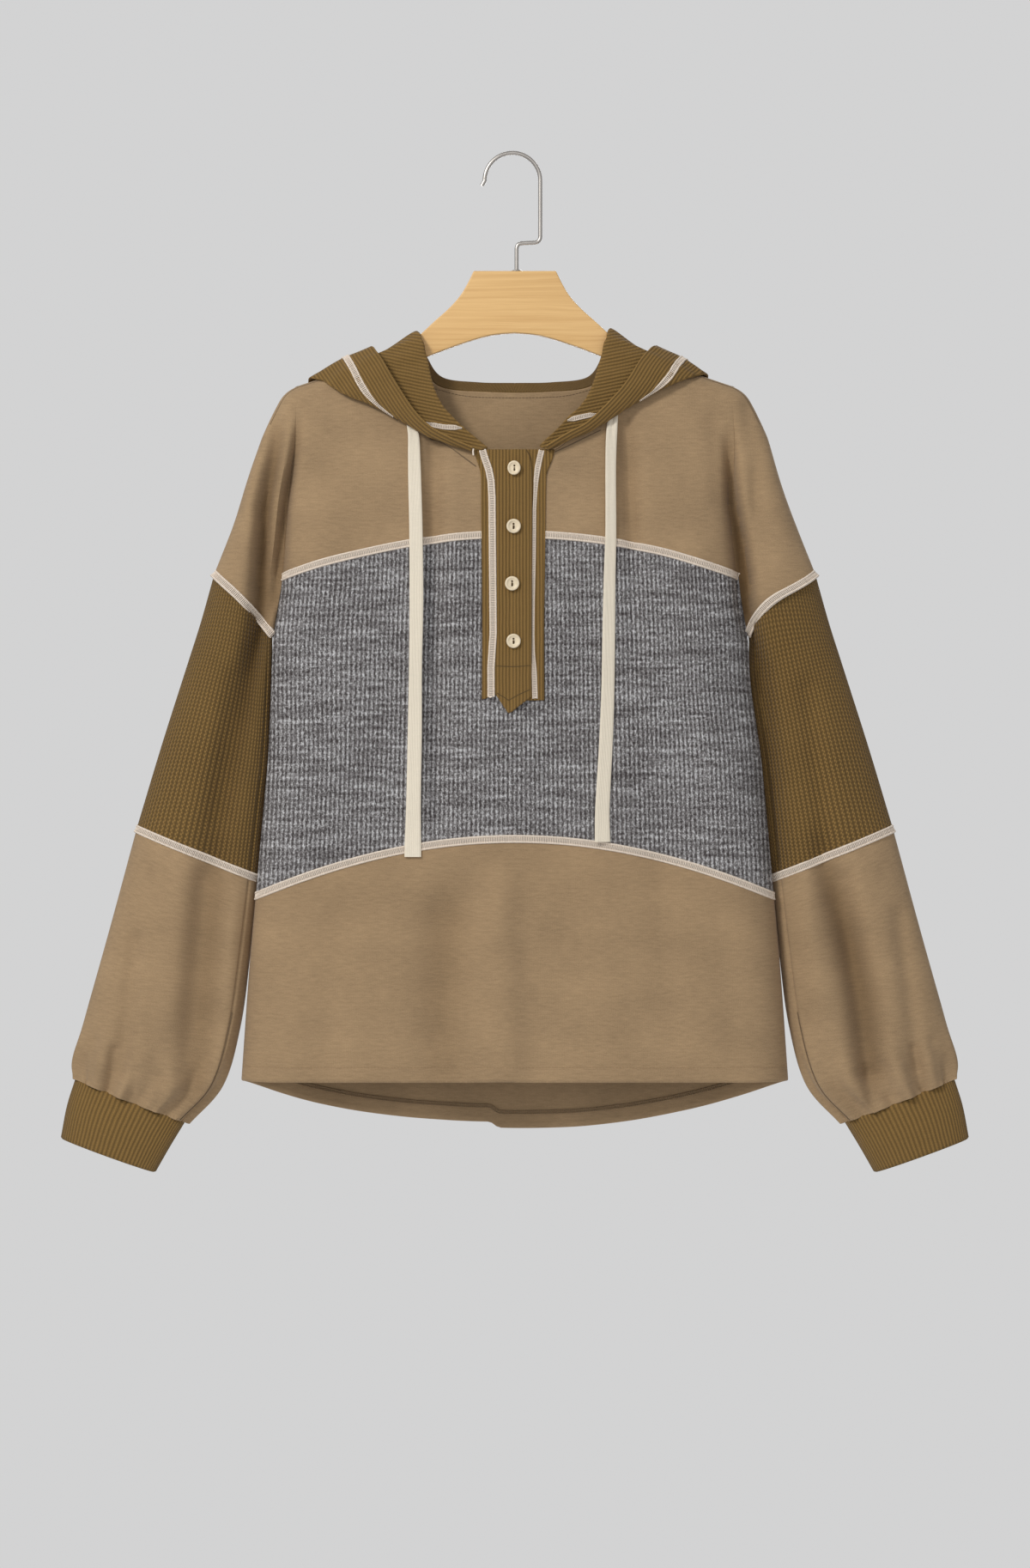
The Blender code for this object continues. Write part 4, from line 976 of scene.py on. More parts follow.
# ---------------------------------------------------------------- placket
Strip = namedtuple("Strip", "z left right")
OVER_STRIP = rows_of(Strip,
    (-249.6, -33.6, 9), (-254, -32.6, 11.4), (-258, -31.2, 12.8), (-265, -29, 13.5), (-272, -27.7, 13.7),
    (-300, -27.4, 13.8), (-360, -26.8, 13.6), (-404, -26.6, 13.4), (-430, -26.8, 13.4), (-452, -27, 13.2),
)
UNDER_STRIP = rows_of(Strip,
    (-249.6, 5, 33), (-258, 5, 30.6), (-266, 5, 27.2), (-273, 5, 25.7), (-340, 5, 24.8), (-400, 5, 24),
    (-459, 5, 24.2),
)
OVER_POINT = rows_of(Outline,
    (-27.6, -458.5), (-15.7, -454), (-5, -470), (13.6, -456),
)
STRIP_CLOTH = 1.5
OVER_LIFT = SEAM + STRIP_CLOTH + SEAM


def over_lift(x):
    return SEAM + (OVER_LIFT - SEAM) * ease(-4.0, 1.0, x)


def over_foot(x):
    return np.interp(x, [p.x for p in OVER_POINT], [p.z for p in OVER_POINT])


def strip_grid(table, shares, rows, lift, foot=None):
    top, bottom = table[0].z, table[-1].z
    z = top + (bottom - top) * rows[:, None] + np.zeros_like(shares)[None]
    left, right = read(table, z, "left"), read(table, z, "right")
    x = left + (right - left) * shares[None]
    if foot is not None:
        blend = ease(0.9, 1.0, rows)[:, None]
        z = z + (foot(x) - bottom) * blend
    grid = front_face(x, z)
    grid[..., 1] -= lift(x) + STRIP_CLOTH
    return grid, np.stack([x, z], axis=-1)


def make_placket():
    rows = np.concatenate([np.linspace(0.0, 0.9, 70), np.linspace(0.905, 1.0, 12)])
    edge = np.array([0.0, 0.012, 0.03])
    for name, node, table, lift, foot in (
        ("placket_under_strip", "placket_under", UNDER_STRIP, lambda x: np.full_like(x, SEAM), None),
        ("placket_over_strip", "placket_over", OVER_STRIP, over_lift, over_foot),
    ):
        shares = np.concatenate([edge, np.linspace(0.05, 0.95, 40), 1.0 - edge[::-1]])
        grid, uv = strip_grid(table, shares, rows, lift, foot)
        cloth = Cloth(wall=STRIP_CLOTH, rim=0.4)
        cloth.grid(grid, uv)
        piece = cloth.build(name, fine_rib(), "olive_rib")
        finish_piece(piece, node)


# ---------------------------------------------------------------- drawcords
Cord = namedtuple("Cord", "x z width")
DRAWCORDS = {
    "left": rows_of(Cord,
        (-89.6, -222, 4), (-86, -231.5, 8.4), (-84.7, -239, 9.6), (-84.3, -252, 10.4), (-83.6, -280, 11.1),
        (-82.6, -318, 11.3), (-82.1, -376, 11.6), (-82.8, -433, 11), (-83.4, -487, 12), (-84.4, -541, 12.3),
        (-85, -579, 13.9), (-85, -590, 14.2),
    ),
    "right": rows_of(Cord,
        (85, -217.5, 3.4), (82.4, -223, 8), (81.2, -234, 9.3), (80.5, -250, 9.3), (80.2, -273, 9.1),
        (80.2, -318, 9.3), (79.2, -355, 10), (78.4, -404, 10.8), (77.7, -449, 11.1), (76.4, -487, 11.5),
        (74.4, -524, 11.8), (73, -553, 12.3), (73.2, -577.5, 13.2),
    ),
}
CORD_TILT = {"left": 0.0, "right": 0.22}
CORD_THICK = 2.0
CORD_REST = 0.4
CORD_CRIMP = 0.0126
CRIMP_RUN = 2.9
CORD_CUP = {"left": 0.35, "right": 1.0}     # how far each cord is folded lengthwise near its top
CORD_SECTION = (            # across and out, in shares of half the width and of the thickness
    (-1.0, 0.45), (-0.96, 0.75), (-0.86, 0.97), (-0.6, 1.0), (-0.3, 0.97), (0.0, 0.95), (0.3, 0.97), (0.6, 1.0),
    (0.86, 0.97), (0.96, 0.75), (1.0, 0.45), (0.97, 0.15), (0.85, 0.0), (0.0, 0.0), (-0.85, 0.0), (-0.97, 0.15),
)


def make_drawcords():
    for side, table in DRAWCORDS.items():
        path = even(smooth_path([(c.x, c.z, c.width) for c in table], 24), 150)
        x, z, width = path[:, 0], path[:, 1], path[:, 2]
        half = width / 2
        rest = np.max([-front_face(x + dx * half, z)[:, 1] for dx in (-1.0, 0.0, 1.0)], axis=0)
        rest = averaged(rest, 3) + CORD_REST
        edge = half + CORD_CRIMP * np.sin(z / CRIMP_RUN)
        run = np.concatenate([[0.0], np.cumsum(np.hypot(np.diff(x), np.diff(z)))])
        rows, spots = [], []
        folded = (1.0 - ease(3.0, 34.0, run)) * CORD_CUP[side]
        for dx, dy in CORD_SECTION:
            out = dy * CORD_THICK - (folded * 1.3 * math.exp(-(dx / 0.25) ** 2) if dy > 0.9 else 0.0)
            lean = (1.0 - dx) * half * CORD_TILT[side] * ease(0.0, 30.0, run)
            rows.append(np.stack([x + dx * edge, -(rest + out + lean), z], axis=1))
            spots.append(np.stack([dx * 6.0 + 0.0 * run, run], axis=1))
        grid = np.swapaxes(np.array(rows), 0, 1)
        uv = np.swapaxes(np.array(spots + [spots[0]]), 0, 1)
        sides = len(CORD_SECTION)
        faces, corners = [], []
        for j in range(len(path) - 1):
            for i in range(sides):
                k = (i + 1) % sides
                faces.append([j * sides + i, (j + 1) * sides + i, (j + 1) * sides + k, j * sides + k])
                corners.append([uv[j, i], uv[j + 1, i], uv[j + 1, i + 1], uv[j, i + 1]])
        faces += [list(range(sides)), [(len(path) - 1) * sides + i for i in range(sides)][::-1]]
        corners += [[uv[0, i] for i in range(sides)], [uv[-1, i] for i in range(sides)][::-1]]
        piece = make_mesh(f"drawcord_{side}_tape", grid.reshape(-1, 3), faces, cord_cotton(), "cream_cord", corners)
        finish_piece(piece, f"drawcord_{side}")


# ---------------------------------------------------------------- buttons
Button = namedtuple("Button", "x z")
BUTTONS = rows_of(Button,
    (-0.3, -265), (-1, -314), (-2.2, -362), (-1, -410),
)
BUTTON_PROFILE = (
    (0.0, 1.35), (1.5, 1.35), (3.2, 1.45), (3.9, 1.75), (4.3, 2.25), (4.8, 2.42), (5.4, 2.38), (5.85, 2.05),
    (6.0, 1.6), (5.9, 0.9), (5.4, 0.25), (4.0, 0.0), (0.0, 0.0),
)
BUTTON_LEANS = (0.42, -0.03, 0.03, 0.09)      # radians: how each one is tipped on its thread
BUTTON_AROUND = 48
HOLE_RADIUS = 0.85
HOLES_APART = 3.4
BUTTON_THREAD = ((0.5, 0.4), (0.3, 0.4), (0.0, 1.75), (-0.3, 1.5), (-0.5, 0.4))     # up in hole distances, and out
THREAD_SIDES = (-0.35, 0.35)


def button_seat(spot):
    turn = np.linspace(0.0, 2.0 * math.pi, 8, endpoint=False)
    x, z = spot.x + 5.4 * np.cos(turn), spot.z + 5.4 * np.sin(turn)
    return float(np.max(over_lift(x) - solid_front(x, z)[:, 1])) + STRIP_CLOTH + SEAM


def lathe(profile, around):
    """A turned closed form about the Y axis, facing -Y."""
    points = [(0.0, -profile[0][1], 0.0)]
    for radius, height in profile[1:-1]:
        for k in range(around):
            turn = 2.0 * math.pi * k / around
            points.append((radius * math.cos(turn), -height, radius * math.sin(turn)))
    points.append((0.0, -profile[-1][1], 0.0))
    rings = len(profile) - 2
    last = len(points) - 1
    faces = []
    for k in range(around):
        n = (k + 1) % around
        faces.append([0, 1 + k, 1 + n])
        for j in range(rings - 1):
            a = 1 + j * around
            faces.append([a + k, a + around + k, a + around + n, a + n])
        a = 1 + (rings - 1) * around
        faces.append([a + k, last, a + n])
    return np.array(points), faces


def make_buttons():
    profile, faces = lathe(BUTTON_PROFILE, BUTTON_AROUND)
    pieces = []
    for number, spot in enumerate(BUTTONS, 1):
        base, lean = button_seat(spot), BUTTON_LEANS[number - 1]
        points = profile.copy()
        points[:, 0] = profile[:, 0] * math.cos(lean) + profile[:, 1] * math.sin(lean) * 0.6
        points[:, 1] -= np.abs(math.sin(lean)) * 1.2 + profile[:, 0] * math.sin(lean) * 0.2
        placed = points + np.array([spot.x, -base, spot.z])
        piece = make_mesh(f"button_turned_{number}", placed, [list(f) for f in faces], horn(), "cream_button",
                          [[(0.0, 0.0)] * len(f) for f in faces], sharp=70.0)
        for up in (-0.5, 0.5):
            bpy.ops.mesh.primitive_cylinder_add(vertices=20, radius=HOLE_RADIUS * MM, depth=9.0 * MM)
            cutter = bpy.context.object
            cutter.rotation_euler = (math.pi / 2, 0.0, 0.0)
            cutter.location = ((GARMENT_X + spot.x) * MM, -(base + 1.0) * MM, (spot.z + up * HOLES_APART) * MM)
            cut = piece.modifiers.new("hole", "BOOLEAN")
            cut.object = cutter
            cut.operation = "DIFFERENCE"
            cut.solver = "EXACT"
            bake_modifiers(piece)
            bpy.data.objects.remove(cutter)
        finish_piece(piece, f"button_{number}")
        pieces.append((spot, base))
    threads = []
    for spot, base in pieces:
        for side in THREAD_SIDES:
            threads.append([(spot.x + side, -(base + out), spot.z + HOLES_APART * up) for up, out in BUTTON_THREAD])
    make_threads("button_thread", threads, 0.45, thread_dark(), "olive_rib")


def bake_modifiers(piece):
    """Turns what the modifiers make into the piece's own mesh."""
    mesh = evaluated_mesh(piece)
    piece.modifiers.clear()
    piece.data = mesh


def round_curve(name, paths, radius, look, slot, fineness=1):
    """Round threads or wire along paths in millimetres, as one mesh."""
    curve = bpy.data.curves.new(name, "CURVE")
    curve.dimensions = "3D"
    curve.bevel_depth = radius * MM
    curve.bevel_resolution = fineness
    curve.use_fill_caps = True
    for path in paths:
        spline = curve.splines.new("POLY")
        spline.points.add(len(path) - 1)
        for point, at in zip(spline.points, path):
            point.co = (*(value * MM for value in at), 1.0)
    holder = add_object(name + "_curve", curve)
    mesh = evaluated_mesh(holder)
    bpy.data.objects.remove(holder)
    mesh.materials.clear()
    mesh.materials.append(look)
    mesh.shade_smooth()
    made = add_object(name, mesh)
    made["look"] = slot
    return made


def make_threads(name, paths, radius, look, slot):
    """Threads that hang with the garment."""
    placed = [hang(np.array(path, float)) + np.array([GARMENT_X, 0.0, 0.0]) for path in paths]
    finish_piece(round_curve(name, placed, radius, look, slot))


# ---------------------------------------------------------------- stitching by Geometry Nodes
def node(tree, kind, inputs=None, **values):
    """A node with its settings; an input is a value or another node's output."""
    made = tree.nodes.new(kind)
    for key, value in values.items():
        setattr(made, key, value)
    for key, value in (inputs or {}).items():
        if isinstance(value, bpy.types.NodeSocket):
            tree.links.new(value, made.inputs[key])
        else:
            made.inputs[key].default_value = value
    return made


def calc(tree, operation, a, b=0.0, c=0.0):
    return node(tree, "ShaderNodeMath", {0: a, 1: b, 2: c}, operation=operation).outputs[0]


def scaled(tree, vector, factor):
    made = node(tree, "ShaderNodeVectorMath", {0: vector, "Scale": factor}, operation="SCALE")
    return made.outputs["Vector"]


def added(tree, a, b):
    return node(tree, "ShaderNodeVectorMath", {0: a, 1: b}, operation="ADD").outputs["Vector"]


def named_vector(tree, name):
    made = node(tree, "GeometryNodeInputNamedAttribute", data_type="FLOAT_VECTOR")
    made.inputs["Name"].default_value = name
    return made.outputs["Attribute"]


def geometry_tree(name, sockets):
    tree = bpy.data.node_groups.new(name, "GeometryNodeTree")
    tree.interface.new_socket("Geometry", in_out="INPUT", socket_type="NodeSocketGeometry")
    for label, kind in sockets:
        tree.interface.new_socket(label, in_out="INPUT", socket_type=kind)
    tree.interface.new_socket("Geometry", in_out="OUTPUT", socket_type="NodeSocketGeometry")
    return tree, tree.nodes.new("NodeGroupInput"), tree.nodes.new("NodeGroupOutput")


def end_tree(tree, geometry, group_in, group_out):
    real = node(tree, "GeometryNodeRealizeInstances", {"Geometry": geometry})
    smooth = node(tree, "GeometryNodeSetShadeSmooth", {"Geometry": real.outputs["Geometry"]})
    last = node(tree, "GeometryNodeSetMaterial",
                {"Geometry": smooth.outputs["Geometry"], "Material": group_in.outputs["Material"]})
    tree.links.new(last.outputs["Geometry"], group_out.inputs["Geometry"])


BAR = {"Vertices": 5, "Side Segments": 1}
UNEVEN_STITCH = (0.84, 1.1)
# place across, slant, length in pitches, length in widths, thickness in widths and thickness in threads
STITCH_ROWS = (
    (0.0, None, 0.0, 0.80, 0.0, 0.50), (0.35, 0.45, 1.12, 0.0, 0.115, 0.0), (-0.35, -0.45, 1.12, 0.0, 0.115, 0.0),
)


def coverstitch_tree():
    """Rungs of looper thread between two rows of slanted needle stitches."""
    found = bpy.data.node_groups.get("coverstitch")
    if found:
        return found
    tree, group_in, group_out = geometry_tree("coverstitch", (
        ("Width", "NodeSocketFloat"), ("Pitch", "NodeSocketFloat"), ("Thread", "NodeSocketFloat"),
        ("Seed", "NodeSocketInt"), ("Material", "NodeSocketMaterial"),
    ))
    width, pitch, thread = (group_in.outputs[name] for name in ("Width", "Pitch", "Thread"))
    line = node(tree, "GeometryNodeMeshToCurve", {"Mesh": group_in.outputs["Geometry"]}).outputs["Curve"]
    spots = node(tree, "GeometryNodeCurveToPoints", {"Curve": line, "Length": pitch}, mode="LENGTH").outputs["Points"]
    wide = node(tree, "GeometryNodeInputNamedAttribute", {"Name": "wide"}, data_type="FLOAT").outputs["Attribute"]
    side, out = named_vector(tree, "side"), named_vector(tree, "out")
    along = node(tree, "ShaderNodeVectorMath", {0: side, 1: out}, operation="CROSS_PRODUCT").outputs["Vector"]
    joined = node(tree, "GeometryNodeJoinGeometry")
    for place, slant, pitches, widths, fat, threads in STITCH_ROWS:
        away = scaled(tree, scaled(tree, side, calc(tree, "MULTIPLY", width, place)), wide)
        moved = node(tree, "GeometryNodeSetPosition", {"Geometry": spots, "Offset": away})
        aim = side if slant is None else added(tree, along, scaled(tree, side, slant))
        turned = node(tree, "FunctionNodeAlignRotationToVector", {"Vector": aim}, axis="Z").outputs["Rotation"]
        depth = calc(tree, "MULTIPLY_ADD", pitch, pitches, calc(tree, "MULTIPLY", width, widths))
        radius = calc(tree, "MULTIPLY_ADD", width, fat, calc(tree, "MULTIPLY", thread, threads))
        bar = node(tree, "GeometryNodeMeshCylinder", {**BAR, "Radius": radius, "Depth": depth}).outputs["Mesh"]
        uneven = node(tree, "FunctionNodeRandomValue", {"Seed": group_in.outputs["Seed"]}, data_type="FLOAT")
        uneven.inputs[2].default_value, uneven.inputs[3].default_value = UNEVEN_STITCH
        placed = node(tree, "GeometryNodeInstanceOnPoints", {
            "Points": moved.outputs["Geometry"], "Instance": bar, "Rotation": turned,
            "Scale": calc(tree, "MULTIPLY", uneven.outputs[1], wide),
        })
        tree.links.new(placed.outputs["Instances"], joined.inputs["Geometry"])
    end_tree(tree, joined.outputs["Geometry"], group_in, group_out)
    return tree


def running_stitch_tree():
    """Short stitches in a line, each a rounded bar along the path."""
    found = bpy.data.node_groups.get("running_stitch")
    if found:
        return found
    tree, group_in, group_out = geometry_tree("running_stitch", (
        ("Pitch", "NodeSocketFloat"), ("Thread", "NodeSocketFloat"), ("Material", "NodeSocketMaterial"),
    ))
    pitch, thread = group_in.outputs["Pitch"], group_in.outputs["Thread"]
    line = node(tree, "GeometryNodeMeshToCurve", {"Mesh": group_in.outputs["Geometry"]}).outputs["Curve"]
    spots = node(tree, "GeometryNodeCurveToPoints", {"Curve": line, "Length": pitch}, mode="LENGTH").outputs
    size = {"Radius": calc(tree, "MULTIPLY", thread, 0.5), "Depth": calc(tree, "MULTIPLY", pitch, 0.72)}
    bar = node(tree, "GeometryNodeMeshCylinder", {**BAR, **size}).outputs["Mesh"]
    placed = node(tree, "GeometryNodeInstanceOnPoints",
                  {"Points": spots["Points"], "Instance": bar, "Rotation": spots["Rotation"]})
    end_tree(tree, placed.outputs["Instances"], group_in, group_out)
    return tree


SeamPath = namedtuple("SeamPath", "points out wide", defaults=(1.0,))


def laid_out(path):
    """A seam path's points, and which way is out and which way is across at each."""
    points, out = np.asarray(path.points, float), np.asarray(path.out)
    return points, out, unit(np.cross(out, unit(np.gradient(points, axis=0))))


def path_object(name, paths):
    """The seam paths as one mesh of edges that carries which way is out and which way is across."""
    points, outs, sides, widths, edges = [], [], [], [], []
    for path in paths:
        p, out, side = laid_out(path)
        start = len(points)
        points += p.tolist()
        outs += out.tolist()
        sides += side.tolist()
        widths += np.broadcast_to(path.wide, len(p)).tolist()
        edges += [(start + i, start + i + 1) for i in range(len(p) - 1)]
    mesh = bpy.data.meshes.new(name)
    placed = hang(np.array(points))
    placed[:, 0] += GARMENT_X
    mesh.from_pydata((placed * MM).tolist(), edges, [])
    for label, values in (("out", outs), ("side", sides)):
        layer = mesh.attributes.new(label, "FLOAT_VECTOR", "POINT")
        layer.data.foreach_set("vector", np.array(values, np.float32).reshape(-1))
    add_floats(mesh, "wide", widths)
    return add_object(name, mesh)


def stitched(name, paths, tree, values, look, slot):
    """Runs a stitch tree along the paths and keeps the result as a plain mesh."""
    holder = path_object(name + "_path", paths)
    modifier = holder.modifiers.new("stitch", "NODES")
    modifier.node_group = tree
    sockets = {item.name: item.identifier for item in tree.interface.items_tree if item.in_out == "INPUT"}
    for label, value in {**values, "Material": look}.items():
        modifier[sockets[label]] = value
    mesh = evaluated_mesh(holder)
    bpy.data.objects.remove(holder)
    mesh.name = name
    made = add_object(name, mesh)
    made["look"] = slot
    finish_piece(made)


def on_face(face, x, z, lift):
    """Points on a face moved out, with which way is out at each."""
    x, z = np.asarray(x, float), np.asarray(z, float)
    d = 0.6
    out = unit(np.cross(face(x + d, z) - face(x - d, z), face(x, z + d) - face(x, z - d)))
    if face is back_face:
        out = -out
    return SeamPath(face(x, z) + out * lift, out)


def mirrored(path):
    flip = np.array([-1.0, 1.0, 1.0])
    return SeamPath(path.points * flip, path.out * flip, path.wide)


def arch_path(curve, lift=0.5):
    shares = np.sin(np.linspace(-1.0, 1.0, 240) * math.pi / 2) * 0.9985
    z = arch(curve, shares)
    return on_face(front_face, shares * side_line(z), z, lift)


def ring_path(table, at, sign, lift, over=False):
    """A path round a sleeve's section. Over the armhole it also clears the shoulder that the sleeve is sewn to."""
    turn = np.linspace(0.0, 2.0 * math.pi, 200)
    section = section_at(table, at)
    points = ring(section, sign, turn, at, no_waves, no_waves)
    if over:
        x, y, z = points.T
        front, back = front_face(x, z)[:, 1], back_face(x, z)[:, 1]
        points[:, 1] = np.where(turn < math.pi, np.minimum(y, front), np.maximum(y, back))
    axis = np.array([sign * (section.outer_z - section.inner_z), 0.0, -(section.outer_x - section.inner_x)])
    out = unit(np.cross(np.gradient(points, axis=0), axis))
    if np.sum((points - points.mean(axis=0)) * out) < 0:
        out = -out
    for _ in range(6 if over else 0):
        out[1:-1] = (out[:-2] + out[1:-1] + out[2:]) / 3.0
    out = unit(out)
    out[-1] = out[0]
    return SeamPath(points + out * lift, out)


BED_PROFILE = (             # across in widths, and out in millimetres
    (-0.5, -0.55), (-0.46, -0.05), (-0.25, 0.1), (0.0, 0.14), (0.25, 0.1), (0.46, -0.05), (0.5, -0.55),
)


def ribbon(name, paths, width, look, slot):
    """The flat bed of thread under a coverstitch."""
    vertices, faces, spots = [], [], []
    count = len(BED_PROFILE)
    for path in paths:
        p, out, side = laid_out(path)
        run = run_along(p)
        start = len(vertices)
        wide = np.broadcast_to(path.wide, len(p))
        for j in range(len(p)):
            for across, up in BED_PROFILE:
                vertices.append(p[j] + side[j] * across * width * wide[j] + out[j] * up)
        for j in range(len(p) - 1):
            for i in range(count - 1):
                a = start + j * count + i
                faces.append([a, a + count, a + count + 1, a + 1])
                u = [BED_PROFILE[i][0] / MM, BED_PROFILE[i + 1][0] / MM]
                spots.append([(u[0], run[j]), (u[0], run[j + 1]), (u[1], run[j + 1]), (u[1], run[j])])
    middle = len(faces) // 2
    corner = np.array([vertices[n] for n in faces[middle]])
    facing = np.cross(corner[2] - corner[0], corner[3] - corner[1])
    outs = np.concatenate([np.asarray(path.out)[:-1] for path in paths])
    if np.dot(facing, outs[min(middle // (count - 1), len(outs) - 1)]) < 0:
        faces, spots = ([each[::-1] for each in group] for group in (faces, spots))
    finish_piece(make_mesh(name, np.array(vertices), faces, look, slot, spots, sharp=180.0))


def coverstitch(seam_name, paths, slot="cream_cord"):
    seam = settings().seam
    width = BAND_WIDTHS[seam_name] * seam.width
    bed = [SeamPath(path.points - path.out * 0.3, path.out, path.wide) for path in paths]
    ribbon(f"coverstitch_{seam_name}_bed", bed, width, thread_bed(), slot)
    stitched(f"coverstitch_{seam_name}", paths, coverstitch_tree(), {
        "Width": width * MM, "Pitch": seam.pitch, "Thread": seam.thickness, "Seed": seam.seed,
    }, thread_pale(), slot)


def plain_stitch(name, paths, look, slot, thread=0.0005):
    stitched(name, paths, running_stitch_tree(), {"Pitch": settings().seam.plain_pitch, "Thread": thread}, look, slot)


CASING_STITCH = {           # section number, and share of the way from the fold to the edge
    "left": ((3.35, 0.0), (4, 0.17), (5, 0.42), (6, 0.51), (7, 0.58), (8, 0.55), (9, 0.45), (10, 0.42), (12, 0.45)),
    "right": ((3.45, 0.0), (4, 0.10), (5, 0.32), (6, 0.41), (7, 0.45), (8, 0.45), (9, 0.42), (10, 0.42), (12, 0.45)),
}


def casing_path(side):
    """The stitch that holds the hood's casing. It starts at the fold, where it comes round from the inside."""
    grid = hood_grid(side)
    places, shares = zip(*CASING_STITCH[side])
    fold, end = FOLD_LANE * HOOD_ACROSS, grid.shape[1] - 1
    rows = np.arange(math.ceil(places[0] * HOOD_ALONG), grid.shape[0])
    column = fold + np.interp(rows / HOOD_ALONG, places, shares) * (end - fold)
    column = averaged(column, 8, mode="reflect", reflect_type="odd")
    low = np.clip(column.astype(int), fold, end - 1)
    part = (column - low)[:, None]
    points = grid[rows, low] * (1.0 - part) + grid[rows, low + 1] * part
    across = grid[rows, np.minimum(low + 2, end)] - grid[rows, np.maximum(low, fold)]
    out = unit(np.cross(np.gradient(points, axis=0), across))
    wide = 0.25 + 0.75 * ease(0.0, 22.0, np.arange(len(rows)))
    path = SeamPath(points + out * (HOOD_CLOTH / 2 + 0.35), out, wide)
    return mirrored(path) if side == "left" else path


def surface_tree(names):
    """A search tree over finished pieces, to lay stitches on what shows."""
    vertices, faces = [], []
    for name in names:
        mesh = bpy.data.objects[name].data
        start = len(vertices)
        vertices += [v.co.copy() for v in mesh.vertices]
        faces += [[start + n for n in p.vertices] for p in mesh.polygons]
    return BVHTree.FromPolygons(vertices, faces)


def laid_on(tree, corners, lift, count=40, towards=1.0):
    """A path through places seen from the front (towards 1) or the back, laid on the first surface met."""
    points, outs = [], []
    for x, z in even(smooth_path(corners, 12), count):
        start = Vector(((x + GARMENT_X) * MM, -0.3 * towards, z * MM))
        spot, normal, _, _ = tree.ray_cast(start, Vector((0.0, towards, 0.0)))
        if spot is None:
            continue
        if normal.y * towards > 0:
            normal = -normal
        points.append([spot.x / MM - GARMENT_X, spot.y / MM, spot.z / MM])
        outs.append(normal[:])
    points, outs = np.array(points), np.array(outs)
    smooth = unit(np.stack([averaged(outs[:, i], 4) for i in range(3)], axis=1))
    points[:, 1] = averaged(points[:, 1], 4)
    ends = np.minimum(np.arange(len(points)), np.arange(len(points))[::-1])
    return SeamPath(points + smooth * lift, smooth, 0.35 + 0.65 * ease(0.0, 9.0, ends))


def strip_path(along_z, across, lift):
    """A path down a placket strip: across is a distance from the garment's middle at each height."""
    z = np.linspace(along_z[0], along_z[1], 90)
    x = np.interp(-z, [-row[0] for row in across], [row[1] for row in across])
    base = on_face(front_face, x, z, 0.0)
    out = base.out
    return SeamPath(base.points + out * (lift(x) + STRIP_CLOTH + 0.35)[:, None], out)


PLACKET_LEFT = ((-250.4, -27.0), (-256.0, -25.4), (-266.0, -21.9), (-276.0, -19.9), (-290.0, -19.1), (-340.0, -18.6),
                (-404.0, -18.0), (-432.0, -19.8), (-457.0, -19.7))
PLACKET_RIGHT = ((-250.4, 22.4), (-258.0, 20.6), (-266.0, 19.0), (-275.0, 17.9), (-300.0, 16.4), (-340.0, 16.0),
                 (-375.0, 15.2), (-404.0, 14.9), (-418.0, 15.2), (-432.0, 16.0), (-458.0, 16.8))
BAND_WIDTHS = {             # millimetres: the coverstitch isn't equally wide on every seam
    "front": 7.1, "sleeves": 7.2, "hood": 6.4, "placket": 6.6, "hood_inside": 4.6,
}


def make_coverstitch():
    coverstitch("front", [arch_path(ARCH_UPPER), arch_path(ARCH_LOWER)])
    rings = []
    for sign in (-1, 1):
        rings.append(ring_path(SLEEVE_UPPER, 0.0, sign, 0.7, over=True))
        rings.append(ring_path(SLEEVE_UPPER, 1.0, sign, 0.6))
    coverstitch("sleeves", rings)
    coverstitch("hood", [casing_path("left"), casing_path("right")])
    strips = [
        strip_path((-250.6, -456.0), PLACKET_LEFT, over_lift),
        strip_path((-250.6, -457.5), PLACKET_RIGHT, lambda x: np.full_like(x, SEAM)),
    ]
    z = strips[1].points[:, 2]      # the upper strip's edge hides half of the right one
    strips[1] = strips[1]._replace(wide=0.5 + 0.3 * ease(-290.0, -262.0, z) + 0.25 * ease(-420.0, -440.0, z))
    coverstitch("placket", strips)
    hood = surface_tree(["hood_half_left", "hood_half_right"])
    inside = [
        laid_on(hood, [(-74.0, -227.4), (-67.0, -229.2), (-59.0, -230.6), (-51.0, -230.9), (-44.4, -231.4)], 0.5),
        laid_on(hood, [(44.2, -225.0), (50.0, -223.4), (58.0, -221.6), (68.0, -219.6)], 0.5),
    ]
    coverstitch("hood_inside", inside)


HEM_STITCH = 11.5           # the hem's stitches above its edge
STITCH_LIFT = 0.12


